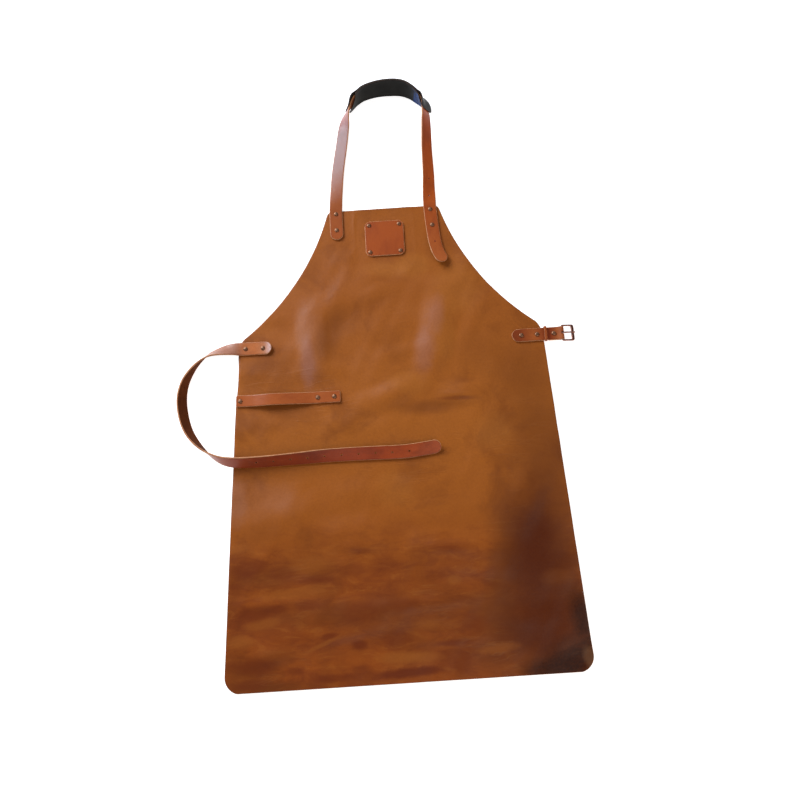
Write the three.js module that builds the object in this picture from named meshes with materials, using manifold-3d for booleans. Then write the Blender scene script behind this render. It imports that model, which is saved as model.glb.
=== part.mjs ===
// Leather work apron, lying on its back on a flat surface.
// Millimetres. X runs to the right of the apron as seen from the front, Y to its neck, Z up.
// The origin is on the centre line, at half the panel's length, on the panel's back face.

import * as THREE from 'three';
import { mergeVertices } from 'three/addons/utils/BufferGeometryUtils.js';
import Module from 'manifold-3d';

const wasm = await Module();
wasm.setup();

// Driving dimensions

const gap = 0.3;

const panel = {
  length: 846,
  hemHalf: 300,
  hemCorner: 26,
  waistHalf: 274.5,
  waistY: 140,
  waistBend: { x: 273.4, y: 172 },
  armholeFoot: { x: 261.5, y: 182 },
  armholeBend: { x: 149, y: 270 },
  topHalf: 103,
  topCorner: 10,
  topFlare: 3,
  hemDrift: -1.5,
  topDrift: 3,
  leather: 2,
  rowsPerCurve: [5, 21, 3, 11, 3],
  columns: 23,
};

const strap = { width: 24, leather: 3 };
const pad = { width: 40, leather: 2, corner: 16, from: 278, to: 471, glue: 1, step: 3 };
const label = { x: 3, y: 361.5, width: 72, height: 70, corner: 11, leather: 2.5, rivetInset: 8 };
const towel = { width: 21, corner: 3, bow: 11 };
const tab = {
  y: 154.8,
  start: 219,
  width: 24,
  leather: 2.5,
  foldLeather: 1.6,
  underStart: 283.5,
  underDrop: 0.4,
  spread: 297,
  barRoom: 0.55,
  outerTurn: 110,
  innerTurn: 125,
  innerEnd: -98,
};
const keeper = { x: 276.8, width: 4.4, wall: 1.4, room: 3.4, corner: 2 };
const buckle = {
  barX: 309,
  barZ: 3.9,
  barWidth: 3,
  toeWidth: 5.5,
  length: 23.5,
  insideWidth: 24.6,
  thickness: 3,
  chamfer: 0.9,
  outerCorner: 4,
  innerCorner: 1.2,
};
// The pin's underside dips between eye and toe, its back dips less, and its root overlaps the eye.
const prong = {
  width: 2.6,
  ring: 3,
  eye: 1.95,
  thickness: 2.2,
  tip: 1.2,
  slotWidth: 4,
  slotRoom: 0.7,
  rootDip: 1.2,
  underDip: 0.9,
  backDip: 0.8,
  crownDip: 0.15,
  throatRise: 0.1,
  throatDip: 0.4,
};
const rivet = {
  cap: 4,
  dome: 2,
  shoulderReach: 3.2,
  shoulderRise: 1.3,
  shank: 1.6,
  back: 0.7,
  backRise: 0.1,
  recessRoom: 0.5,
  sides: 8,
};
const punch = { radius: 2, sides: 8 };

const panelTop = panel.leather;
const strapBase = panelTop + gap;
const strapTop = strapBase + strap.leather;
const tabTop = strapBase + tab.leather;
const labelTop = strapBase + label.leather;

// Ridges in the panel: centre, heading of the crest in degrees, length, width, rise and sideways bow.
const folds = [
  { x: -138, y: 172, heading: 91, length: 190, width: 84, rise: 7, bow: 0 },
  { x: -98, y: 236, heading: 50, length: 150, width: 84, rise: 3.8, bow: 0.001 },
  { x: 85, y: 168, heading: 77, length: 260, width: 80, rise: 6.5, bow: 0.0003 },
  { x: -8, y: 59, heading: 17, length: 170, width: 62, rise: 4.5, bow: 0.0004 },
  { x: 126, y: 57, heading: -4, length: 110, width: 56, rise: 5, bow: 0 },
  { x: -190, y: -150, heading: 40, length: 180, width: 130, rise: 6, bow: 0 },
  { x: -100, y: -176, heading: 4, length: 280, width: 76, rise: 3, bow: 0.0004 },
  { x: 96, y: -218, heading: -9, length: 320, width: 84, rise: 5, bow: -0.0004 },
  { x: -90, y: -312, heading: 3, length: 340, width: 84, rise: 4, bow: 0.0003 },
  { x: 210, y: -140, heading: 62, length: 210, width: 90, rise: 3, bow: 0.0006 },
  { x: 258, y: -372, heading: 25, length: 130, width: 60, rise: 6, bow: 0 },
];

// Stretches where a side of the panel draws in: side, middle, length and depth.
const edgeDents = [{ side: 'left', y: 112, length: 120, depth: 2.6 }];

// Waist strap, from its riveted end to its free tip: centre line, lean of the section in degrees
// (0 flat, 90 standing on its outer edge, more leans outward) and height of its lowest edge.
const waistRows = [
  { x: -211, y: 162, lean: 0, lift: strapBase },
  { x: -258, y: 162.5, lean: 0, lift: strapBase },
  { x: -267, y: 162.7, lean: 0.5, lift: strapBase },
  { x: -282, y: 162.3, lean: 17, lift: strapBase },
  { x: -306, y: 158.5, lean: 45, lift: 0.4 },
  { x: -327, y: 150.5, lean: 66, lift: 0 },
  { x: -350, y: 129, lean: 89, lift: 0 },
  { x: -366, y: 99, lean: 109, lift: 0 },
  { x: -370, y: 64, lean: 122, lift: 0 },
  { x: -361, y: 22, lean: 120, lift: 0 },
  { x: -341, y: -10, lean: 107, lift: 0 },
  { x: -313, y: -33.5, lean: 80, lift: 1 },
  { x: -284, y: -44, lean: 58, lift: strapBase },
  { x: -240, y: -46, lean: 50, lift: strapBase },
  { x: -183, y: -44.5, lean: 44, lift: strapBase },
  { x: -120, y: -42, lean: 30, lift: strapBase },
  { x: -54, y: -42, lean: 20, lift: strapBase },
  { x: 10, y: -43, lean: 15, lift: strapBase },
  { x: 50, y: -40, lean: 18, lift: strapBase },
  { x: 78, y: -36.5, lean: 20, lift: strapBase },
];
// Punched holes: distance of the first along the strap, spacing and number.
const waistHoles = [
  { first: 158, pitch: 29, count: 2 },
  { first: 411, pitch: 29.3, count: 10 },
];

// Neck strap, from its riveted left end round the neck to the free tail on the right.
const padLift = (pad.width - strap.width) / 2 + gap;
const neckRows = [
  { x: -85, y: 364, lean: 0, lift: strapBase },
  { x: -85, y: 383, lean: 0, lift: strapBase },
  { x: -85, y: 416, lean: 0, lift: strapBase },
  { x: -84.3, y: 432, lean: 0.5, lift: strapBase },
  { x: -82.5, y: 455, lean: 8, lift: 0.8 },
  { x: -77, y: 505, lean: 15, lift: 0 },
  { x: -67.5, y: 560, lean: 22, lift: 0.6 },
  { x: -62, y: 595, lean: 33, lift: 3.5 },
  { x: -57.5, y: 619, lean: 52, lift: 7 },
  { x: -51, y: 638, lean: 70, lift: padLift },
  { x: -41, y: 651.5, lean: 86, lift: padLift },
  { x: -22, y: 662.5, lean: 96, lift: padLift },
  { x: 3, y: 669, lean: 101, lift: padLift },
  { x: 28, y: 671, lean: 104, lift: padLift },
  { x: 52, y: 668, lean: 102, lift: padLift },
  { x: 70, y: 658, lean: 94, lift: padLift },
  { x: 82, y: 645.5, lean: 82, lift: padLift },
  { x: 90.5, y: 630.5, lean: 69, lift: padLift + 0.8 },
  { x: 95.5, y: 612, lean: 56, lift: padLift + 0.8 },
  { x: 95.5, y: 585, lean: 44, lift: 4.5 },
  { x: 93.5, y: 540, lean: 35, lift: 0.8 },
  { x: 93, y: 490, lean: 27, lift: 0 },
  { x: 91.5, y: 456, lean: 16, lift: 0.8 },
  { x: 91, y: 432, lean: 0.5, lift: strapBase },
  { x: 91, y: 414, lean: 0, lift: strapBase },
  { x: 92.5, y: 382, lean: 0, lift: strapBase },
  { x: 93.3, y: 370, lean: 0.5, lift: strapBase },
  { x: 94.7, y: 350, lean: 10, lift: strapBase + 1 },
  { x: 99.5, y: 326, lean: 18, lift: strapBase + 3 },
  { x: 109, y: 304.5, lean: 22, lift: strapBase + 5 },
];
const neckHoles = [
  { first: 599.5, pitch: 34.5, count: 2 },
  { first: 729, pitch: 0, count: 1 },
];

// Towel strap, riveted flat at both ends and bowed up between them.
const towelRows = [
  { x: -276.5, y: 66.5, lean: 0, lift: strapBase },
  { x: -263, y: 66, lean: 0, lift: strapBase },
  { x: -246, y: 65.4, lean: 0, lift: strapBase + 0.25 * towel.bow },
  { x: -212, y: 64.5, lean: 0, lift: strapBase + towel.bow },
  { x: -166, y: 64, lean: 0, lift: strapBase + 0.5 * towel.bow },
  { x: -140, y: 64, lean: 0, lift: strapBase },
  { x: -118, y: 64, lean: 0, lift: strapBase },
  { x: -92, y: 63.7, lean: 0, lift: strapBase },
];

// Rivets: the piece of leather under the front cap gives the height of the cap.
const labelReach = { x: label.width / 2 - label.rivetInset, y: label.height / 2 - label.rivetInset };
const rivets = [
  { name: 'rivet_neck_left_upper', x: -85, y: 416, holds: 'neck_strap', top: strapTop },
  { name: 'rivet_neck_left_lower', x: -85, y: 383, holds: 'neck_strap', top: strapTop },
  { name: 'rivet_neck_right_upper', x: 91, y: 414, holds: 'neck_strap', top: strapTop },
  { name: 'rivet_neck_right_lower', x: 92.5, y: 382, holds: 'neck_strap', top: strapTop },
  { name: 'rivet_waist_inner', x: -227, y: 162.1, holds: 'waist_strap', top: strapTop },
  { name: 'rivet_waist_outer', x: -258, y: 162.5, holds: 'waist_strap', top: strapTop },
  { name: 'rivet_towel_edge', x: -269, y: 66, holds: 'towel_strap', top: strapTop },
  { name: 'rivet_towel_outer', x: -132, y: 64, holds: 'towel_strap', top: strapTop },
  { name: 'rivet_towel_inner', x: -103, y: 64, holds: 'towel_strap', top: strapTop },
  { name: 'rivet_tab_inner', x: 236, y: tab.y, holds: 'buckle_tab', top: tabTop },
  { name: 'rivet_tab_middle', x: 264, y: tab.y, holds: 'buckle_tab', top: tabTop },
  { name: 'rivet_tab_outer', x: 294, y: tab.y, holds: 'buckle_tab', top: tabTop },
];
for (const [row, up] of [['lower', -1], ['upper', 1]]) {
  for (const [column, right] of [['left', -1], ['right', 1]]) {
    rivets.push({
      name: `rivet_label_${row}_${column}`,
      x: label.x + right * labelReach.x,
      y: label.y + up * labelReach.y,
      holds: 'label_patch',
      top: labelTop,
    });
  }
}

// Materials

const leatherLook = (color, roughness) => new THREE.MeshStandardMaterial({ color, roughness, metalness: 0 });
const metalLook = (color, roughness) => new THREE.MeshStandardMaterial({ color, roughness, metalness: 0.85 });
const looks = {
  panel: leatherLook(0x9a5a26, 0.5),
  strap: leatherLook(0xa85830, 0.45),
  patch: leatherLook(0xa55228, 0.5),
  pad: leatherLook(0x262626, 0.4),
  rivet: metalLook(0x8f7048, 0.4),
  buckle: metalLook(0x7a5448, 0.4),
};

// Solids: closed triangle meshes go in and out of the boolean kernel

function toSolid(geometry) {
  const bare = geometry.clone();
  bare.deleteAttribute('normal');
  bare.deleteAttribute('uv');
  const merged = mergeVertices(bare, 1e-4);
  return new wasm.Manifold(
    new wasm.Mesh({
      numProp: 3,
      vertProperties: new Float32Array(merged.attributes.position.array),
      triVerts: new Uint32Array(merged.index.array),
    }),
  );
}

function toGeometry(solid) {
  const mesh = solid.getMesh();
  const geometry = new THREE.BufferGeometry();
  geometry.setAttribute('position', new THREE.BufferAttribute(mesh.vertProperties, 3));
  geometry.setIndex(new THREE.BufferAttribute(mesh.triVerts, 1));
  geometry.computeVertexNormals();
  return geometry;
}

function subtractAll(geometry, cutters) {
  let solid = toSolid(geometry);
  for (const cutter of cutters) solid = solid.subtract(toSolid(cutter));
  return toGeometry(solid);
}

function latheUpright(profile, sides) {
  const points = profile.map(([radius, z]) => new THREE.Vector2(radius, z));
  return new THREE.LatheGeometry(points, sides).rotateX(Math.PI / 2);
}

// The recess under the leather takes the back of a rivet, the bore its shank.
function rivetCutter({ x, y }) {
  const below = -5;
  const above = 40;
  const recess = rivet.cap + rivet.recessRoom;
  const recessTop = rivet.backRise + rivet.back + gap;
  const bore = rivet.shank + gap;
  const profile = [[0, below], [recess, below], [recess, recessTop], [bore, recessTop], [bore, above], [0, above]];
  return latheUpright(profile, rivet.sides).translate(x, y, 0);
}

const rivetCutters = (holder) => rivets.filter(({ holds }) => holds === holder).map(rivetCutter);

// Panel

function panelEdge() {
  const bottom = -panel.length / 2;
  const top = panel.length / 2;
  const edge = new THREE.Path();
  const hemTurn = panel.hemHalf - panel.hemCorner;
  const topTurn = panel.topHalf - panel.topCorner;
  edge.absarc(hemTurn, bottom + panel.hemCorner, panel.hemCorner, -Math.PI / 2, 0, false);
  edge.lineTo(panel.waistHalf, panel.waistY);
  edge.quadraticCurveTo(panel.waistBend.x, panel.waistBend.y, panel.armholeFoot.x, panel.armholeFoot.y);
  const shoulder = { x: panel.topHalf + panel.topFlare, y: top - panel.topCorner };
  edge.quadraticCurveTo(panel.armholeBend.x, panel.armholeBend.y, shoulder.x, shoulder.y);
  edge.quadraticCurveTo(panel.topHalf, top, topTurn, top);
  return edge;
}

// Each curve of the edge has its own number of rows, so that the corners stay round.
function edgePoints() {
  const { curves } = panelEdge();
  const points = curves.flatMap((curve, i) => curve.getSpacedPoints(panel.rowsPerCurve[i]).slice(1));
  return [curves[0].getPoint(0), ...points];
}

// The panel lies a little askew, and its sides draw in where they curl.
function sideAt(side, half, y) {
  const { length, hemDrift, topDrift } = panel;
  const drift = hemDrift + (topDrift - hemDrift) * (y / length + 0.5);
  const outward = side === 'left' ? -1 : 1;
  let reach = half;
  for (const dent of edgeDents) {
    const share = Math.min(1, Math.abs(y - dent.y) / (dent.length / 2));
    if (dent.side === side) reach -= dent.depth * (1 - share ** 2) ** 2;
  }
  return drift + outward * reach;
}

function foldHeight(x, y) {
  let height = 0;
  for (const fold of folds) {
    const heading = THREE.MathUtils.degToRad(fold.heading);
    const along = (x - fold.x) * Math.cos(heading) + (y - fold.y) * Math.sin(heading);
    const sideways = (y - fold.y) * Math.cos(heading) - (x - fold.x) * Math.sin(heading);
    const across = sideways - fold.bow * along * along;
    const alongShare = Math.min(1, Math.abs(along) / (fold.length / 2));
    const acrossShare = Math.min(1, Math.abs(across) / (fold.width / 2));
    height += fold.rise * (1 - alongShare ** 2) ** 2 * (1 - acrossShare ** 2) ** 2;
  }
  return height;
}

// Rows of points across the panel, each from its left edge to its right, on both faces.
function panelGeometry() {
  const edge = edgePoints();
  const perRow = panel.columns + 1;
  const perFace = edge.length * perRow;
  const positions = [];
  for (const face of [0, panel.leather]) {
    for (const { x: half, y } of edge) {
      const left = sideAt('left', half, y);
      const right = sideAt('right', half, y);
      for (let column = 0; column < perRow; column += 1) {
        const x = THREE.MathUtils.lerp(left, right, column / panel.columns);
        positions.push(x, y, foldHeight(x, y) + face);
      }
    }
  }
  const index = [];
  const quad = (a, b, c, d) => index.push(a, b, c, a, c, d);
  for (let row = 0; row + 1 < edge.length; row += 1) {
    for (let column = 0; column < panel.columns; column += 1) {
      const low = row * perRow + column;
      const high = low + perRow;
      quad(low, high, high + 1, low + 1);
      quad(perFace + low, perFace + low + 1, perFace + high + 1, perFace + high);
    }
    const left = row * perRow;
    const right = left + panel.columns;
    quad(left, perFace + left, perFace + left + perRow, left + perRow);
    quad(right, right + perRow, perFace + right + perRow, perFace + right);
  }
  const lastRow = (edge.length - 1) * perRow;
  for (let column = 0; column < panel.columns; column += 1) {
    quad(column, column + 1, perFace + column + 1, perFace + column);
    const high = lastRow + column;
    quad(high, perFace + high, perFace + high + 1, high + 1);
  }
  const geometry = new THREE.BufferGeometry();
  geometry.setAttribute('position', new THREE.Float32BufferAttribute(positions, 3));
  geometry.setIndex(index);
  return geometry;
}

// Straps: a route gives the centre and the directions of a leather section at any distance along it

class Route {
  constructor(rows, { width, leather, side, floor }) {
    const spline = (points) => new THREE.CatmullRomCurve3(points, false, 'catmullrom', 0.5);
    this.plan = spline(rows.map(({ x, y }) => new THREE.Vector3(x, y, 0)));
    this.stance = spline(rows.map(({ lean, lift }) => new THREE.Vector3(lean, lift, 0)));
    this.length = this.plan.getLength();
    Object.assign(this, { width, leather, side, floor });
  }

  at(distance) {
    const share = this.plan.getUtoTmapping(distance / this.length);
    const centre = this.plan.getPoint(share);
    const heading = this.plan.getTangent(share);
    const { x: lean, y: lift } = this.stance.getPoint(share);
    const turn = THREE.MathUtils.degToRad(lean);
    const up = new THREE.Vector3(0, 0, 1);
    const inward = new THREE.Vector3().crossVectors(up, heading).multiplyScalar(this.side);
    const across = inward.clone().multiplyScalar(Math.cos(turn)).addScaledVector(up, Math.sin(turn));
    const grain = up.clone().multiplyScalar(Math.cos(turn)).addScaledVector(inward, -Math.sin(turn));
    const rise = (this.width * Math.abs(Math.sin(turn)) + this.leather * Math.abs(Math.cos(turn))) / 2;
    centre.z = Math.max(lift, this.floor) + rise;
    return { centre, across, grain };
  }
}

// Distances of the sections of a strip with rounded ends, each with its half width.
// The plain stretch between the ends is divided into spans, each with its own step.
function stripSections({ from, to, width, startCorner, endCorner, spans }) {
  const turns = [15, 35, 55, 75];
  const sections = [];
  const rounded = (corner, degrees) => {
    const turn = THREE.MathUtils.degToRad(degrees);
    return { inset: corner * (1 - Math.cos(turn)), half: width / 2 - corner * (1 - Math.sin(turn)) };
  };
  for (const degrees of turns) {
    const { inset, half } = rounded(startCorner, degrees);
    sections.push({ distance: from + inset, half });
  }
  let here = from + startCorner;
  sections.push({ distance: here, half: width / 2 });
  for (const { until, step } of spans) {
    const stretch = Math.min(until, to - endCorner) - here;
    const count = Math.max(1, Math.round(stretch / step));
    for (let i = 1; i <= count; i += 1) {
      sections.push({ distance: here + (stretch * i) / count, half: width / 2 });
    }
    here += stretch;
  }
  for (const degrees of turns.toReversed()) {
    const { inset, half } = rounded(endCorner, degrees);
    sections.push({ distance: to - inset, half });
  }
  return sections;
}

function stripGeometry(route, { sections, leather, offset }) {
  const corners = [[-1, -1], [1, -1], [1, 1], [-1, 1]];
  const positions = [];
  for (const { distance, half } of sections) {
    const { centre, across, grain } = route.at(distance);
    for (const [acrossSign, grainSign] of corners) {
      const point = centre.clone().addScaledVector(across, acrossSign * half);
      point.addScaledVector(grain, offset + (grainSign * leather) / 2);
      positions.push(point.x, point.y, point.z);
    }
  }
  const index = [];
  const quad = (a, b, c, d) => (route.side > 0 ? index.push(a, b, c, a, c, d) : index.push(a, c, b, a, d, c));
  for (let row = 0; row + 1 < sections.length; row += 1) {
    for (let corner = 0; corner < 4; corner += 1) {
      const next = (corner + 1) % 4;
      quad(4 * row + corner, 4 * row + next, 4 * row + 4 + next, 4 * row + 4 + corner);
    }
  }
  const last = 4 * (sections.length - 1);
  quad(3, 2, 1, 0);
  quad(last, last + 1, last + 2, last + 3);
  const geometry = new THREE.BufferGeometry();
  geometry.setAttribute('position', new THREE.Float32BufferAttribute(positions, 3));
  geometry.setIndex(index);
  return geometry;
}

// A punched hole goes straight through the leather at a distance along the route.
function punchCutter(route, distance) {
  const reach = 2 * route.leather;
  const { centre, grain } = route.at(distance);
  const cutter = new THREE.CylinderGeometry(punch.radius, punch.radius, reach, punch.sides);
  const turn = new THREE.Quaternion().setFromUnitVectors(new THREE.Vector3(0, 1, 0), grain);
  return cutter.applyQuaternion(turn).translate(centre.x, centre.y, centre.z);
}

function punchCutters(route, holeRows) {
  const cutters = [];
  for (const { first, pitch, count } of holeRows) {
    for (let i = 0; i < count; i += 1) cutters.push(punchCutter(route, first + i * pitch));
  }
  return cutters;
}

function strapGeometry(route, holder, { startCorner, endCorner, spans, holes }) {
  const { width, leather, length } = route;
  const sections = stripSections({ from: 0, to: length, width, startCorner, endCorner, spans });
  const strip = stripGeometry(route, { sections, leather, offset: 0 });
  return subtractAll(strip, [...rivetCutters(holder), ...punchCutters(route, holes)]);
}

const towardLeft = 1;
const towardRight = -1;
const waistRoute = new Route(waistRows, { ...strap, side: towardLeft, floor: 0 });
const neckRoute = new Route(neckRows, { ...strap, side: towardRight, floor: 0 });
const towelRoute = new Route(towelRows, { ...strap, width: towel.width, side: towardLeft, floor: strapBase });

// Sections stand closer where a strap twists, and at the same places on the strap and its pad.
const neckSpans = [
  { until: pad.from - pad.corner, step: 14 },
  { until: pad.to + pad.corner, step: pad.step },
  { until: neckRoute.length, step: 14 },
];
const waistSpans = [
  { until: 48, step: 16 },
  { until: 400, step: 9 },
  { until: waistRoute.length, step: 16 },
];
const towelSpans = [{ until: towelRoute.length, step: 9 }];

// The pad lies on the neck strap's inner face.
function padGeometry() {
  const { from, to, width, corner, leather, step } = pad;
  const spans = [{ until: to, step }];
  const sections = stripSections({ from, to, width, startCorner: corner, endCorner: corner, spans });
  const offset = -(strap.leather / 2 + pad.glue + leather / 2);
  return stripGeometry(neckRoute, { sections, leather, offset });
}

// Outlines

function roundedRectangle(target, { left, right, bottom, top, corner }) {
  target.moveTo(left + corner, bottom);
  target.lineTo(right - corner, bottom);
  target.absarc(right - corner, bottom + corner, corner, -Math.PI / 2, 0, false);
  target.lineTo(right, top - corner);
  target.absarc(right - corner, top - corner, corner, 0, Math.PI / 2, false);
  target.lineTo(left + corner, top);
  target.absarc(left + corner, top - corner, corner, Math.PI / 2, Math.PI, false);
  target.lineTo(left, bottom + corner);
  target.absarc(left + corner, bottom + corner, corner, Math.PI, 1.5 * Math.PI, false);
  return target;
}

const axisX = new THREE.Vector3(1, 0, 0);
const axisY = new THREE.Vector3(0, 1, 0);
const axisZ = new THREE.Vector3(0, 0, 1);

// An outline drawn in X and Z, extruded along Y about the middle of its width.
function extrudeSideways(shape, width, curveSegments) {
  const geometry = new THREE.ExtrudeGeometry(shape, { depth: width, bevelEnabled: false, curveSegments });
  geometry.translate(0, 0, -width / 2);
  return geometry.applyMatrix4(new THREE.Matrix4().makeBasis(axisX, axisZ, axisY.clone().negate()));
}

// Label patch

function labelGeometry() {
  const right = label.width / 2;
  const top = label.height / 2;
  const outline = new THREE.Shape();
  roundedRectangle(outline, { left: -right, right, bottom: -top, top, corner: label.corner });
  const settings = { depth: label.leather, bevelEnabled: false, curveSegments: 5 };
  const patch = new THREE.ExtrudeGeometry(outline, settings).translate(label.x, label.y, strapBase);
  return subtractAll(patch, rivetCutters('label_patch'));
}

// Buckle tab: a strip folded round the buckle's bar, with a slot for the prong

function tabProfile() {
  const { barX, barZ, barWidth } = buckle;
  const inside = barWidth / 2 + tab.barRoom;
  const outside = inside + tab.foldLeather;
  const underTop = strapBase - tab.underDrop;
  const outerTurn = THREE.MathUtils.degToRad(tab.outerTurn);
  const innerTurn = THREE.MathUtils.degToRad(tab.innerTurn);
  const innerEnd = THREE.MathUtils.degToRad(tab.innerEnd);
  const profile = new THREE.Shape();
  profile.moveTo(tab.underStart, barZ - outside);
  profile.lineTo(barX, barZ - outside);
  profile.absarc(barX, barZ, outside, -Math.PI / 2, outerTurn, false);
  profile.lineTo(tab.spread, tabTop);
  profile.lineTo(tab.start, tabTop);
  profile.lineTo(tab.start, strapBase);
  profile.lineTo(tab.spread, strapBase);
  profile.absarc(barX, barZ, inside, innerTurn, innerEnd, true);
  profile.lineTo(tab.spread, underTop);
  profile.lineTo(tab.underStart, underTop);
  profile.closePath();
  return profile;
}

function tabGeometry() {
  const half = tab.width / 2;
  const end = buckle.barX + 2 * half;
  const outline = new THREE.Shape();
  outline.moveTo(end, half);
  outline.lineTo(tab.start + half, half);
  outline.absarc(tab.start + half, 0, half, Math.PI / 2, 1.5 * Math.PI, false);
  outline.lineTo(end, -half);
  const height = 20;
  const plan = new THREE.ExtrudeGeometry(outline, { depth: height, bevelEnabled: false, curveSegments: 8 });
  plan.translate(0, tab.y, -height / 2);
  const overWidth = tab.width + 2;
  const folded = extrudeSideways(tabProfile(), overWidth, 6).translate(0, tab.y, 0);
  const slotStart = buckle.barX - prong.ring - prong.slotRoom;
  const slotLength = 2 * half;
  const slot = new THREE.BoxGeometry(slotLength, prong.slotWidth, height);
  slot.translate(slotStart + slotLength / 2, tab.y, 0);
  const strip = toGeometry(toSolid(folded).intersect(toSolid(plan)));
  return subtractAll(strip, [slot, ...rivetCutters('buckle_tab')]);
}

// Keeper: a flat leather loop round the tab, with room for the strap's tip

function keeperGeometry() {
  const side = tab.width / 2 + gap;
  const inner = { left: -side, right: side, bottom: panelTop, top: tabTop + keeper.room };
  const { wall, corner } = keeper;
  const outer = { left: -side - wall, right: side + wall, bottom: inner.bottom - wall, top: inner.top + wall };
  const loop = roundedRectangle(new THREE.Shape(), { ...outer, corner });
  loop.holes.push(roundedRectangle(new THREE.Path(), { ...inner, corner: corner - wall }));
  const settings = { depth: keeper.width, bevelEnabled: false, curveSegments: 3 };
  const geometry = new THREE.ExtrudeGeometry(loop, settings);
  geometry.applyMatrix4(new THREE.Matrix4().makeBasis(axisY, axisZ, axisX));
  return geometry.translate(keeper.x, tab.y, 0);
}

// Buckle frame, drawn flat about its heel bar and then let down onto the surface

function frameGeometry() {
  const left = -buckle.barWidth / 2;
  const right = left + buckle.length;
  const inside = buckle.insideWidth / 2;
  const outside = inside + buckle.barWidth;
  const ring = new THREE.Shape();
  roundedRectangle(ring, { left, right, bottom: -outside, top: outside, corner: buckle.outerCorner });
  const window = {
    left: left + buckle.barWidth,
    right: right - buckle.toeWidth,
    bottom: -inside,
    top: inside,
    corner: buckle.innerCorner,
  };
  ring.holes.push(roundedRectangle(new THREE.Path(), window));
  const { chamfer, thickness } = buckle;
  const geometry = new THREE.ExtrudeGeometry(ring, {
    depth: thickness - 2 * chamfer,
    bevelThickness: chamfer,
    bevelSize: chamfer,
    bevelOffset: -chamfer,
    bevelSegments: 1,
    curveSegments: 3,
  });
  return geometry.translate(0, 0, chamfer - thickness / 2);
}

// Prong: an eye on the heel bar and a pin that lies on the toe bar
function prongGeometry() {
  const toe = buckle.length - buckle.barWidth / 2;
  const rest = buckle.thickness / 2 + gap;
  const eye = new THREE.Shape();
  eye.absarc(0, 0, prong.ring, 0, 2 * Math.PI, false);
  const bore = new THREE.Path();
  bore.absarc(0, 0, prong.eye, 0, 2 * Math.PI, false);
  eye.holes.push(bore);
  const pin = new THREE.Shape();
  pin.moveTo(prong.eye, rest - prong.rootDip);
  pin.quadraticCurveTo(toe / 2, rest - prong.underDip, toe - buckle.toeWidth, rest);
  pin.lineTo(toe + prong.tip, rest);
  pin.lineTo(toe + prong.tip, rest + prong.thickness / 2);
  pin.lineTo(toe - prong.tip, rest + prong.thickness);
  pin.quadraticCurveTo(toe / 2, rest + prong.thickness - prong.backDip, 0, prong.ring - prong.crownDip);
  pin.lineTo(0, prong.eye + prong.throatRise);
  pin.lineTo(prong.eye, rest - prong.throatDip);
  pin.closePath();
  const eyeSolid = toSolid(extrudeSideways(eye, prong.width, 6));
  return toGeometry(eyeSolid.add(toSolid(extrudeSideways(pin, prong.width, 4))));
}

// Rivet: flat back, shank and domed front cap
function rivetGeometry({ top }) {
  const { cap, dome, shoulderReach, shoulderRise, shank, back, backRise } = rivet;
  const seat = top + gap;
  const profile = [
    [0, backRise],
    [cap, backRise],
    [cap, backRise + back],
    [shank, backRise + back],
    [shank, seat],
    [cap, seat],
    [shoulderReach, seat + shoulderRise],
    [0, seat + dome],
  ];
  return latheUpright(profile, rivet.sides);
}

// Assembly

const apron = new THREE.Group();

function addPiece(parent, name, geometry, material) {
  const piece = new THREE.Mesh(geometry, material);
  piece.name = name;
  parent.add(piece);
  return piece;
}

const panelRivets = rivets.filter(({ name }) => name !== 'rivet_tab_outer').map(rivetCutter);
addPiece(apron, 'apron_panel', subtractAll(panelGeometry(), panelRivets), looks.panel);

const roundEnds = { startCorner: strap.width / 2, endCorner: strap.width / 2 };
const squareEnds = { startCorner: towel.corner, endCorner: towel.corner };
const straps = [
  { name: 'neck_strap', route: neckRoute, ends: roundEnds, spans: neckSpans, holes: neckHoles },
  { name: 'waist_strap', route: waistRoute, ends: roundEnds, spans: waistSpans, holes: waistHoles },
  { name: 'towel_strap', route: towelRoute, ends: squareEnds, spans: towelSpans, holes: [] },
];
for (const { name, route, ends, spans, holes } of straps) {
  addPiece(apron, name, strapGeometry(route, name, { ...ends, spans, holes }), looks.strap);
}
addPiece(apron, 'neck_pad', padGeometry(), looks.pad);
addPiece(apron, 'label_patch', labelGeometry(), looks.patch);
addPiece(apron, 'buckle_tab', tabGeometry(), looks.strap);
addPiece(apron, 'strap_keeper', keeperGeometry(), looks.strap);

for (const row of rivets) {
  addPiece(apron, row.name, rivetGeometry(row), looks.rivet).position.set(row.x, row.y, 0);
}

const buckleDrop = (buckle.barZ - buckle.thickness / 2 - rivet.backRise) / (buckle.length - buckle.barWidth / 2);
const buckleHinge = new THREE.Group();
buckleHinge.position.set(buckle.barX, tab.y, buckle.barZ);
buckleHinge.rotation.y = Math.asin(buckleDrop);
apron.add(buckleHinge);
addPiece(buckleHinge, 'buckle_frame', frameGeometry(), looks.buckle);
addPiece(buckleHinge, 'buckle_prong', prongGeometry(), looks.buckle);

export default apron;
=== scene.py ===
import math

import bmesh
import bpy
import numpy as np
from mathutils import Matrix, Vector


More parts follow.
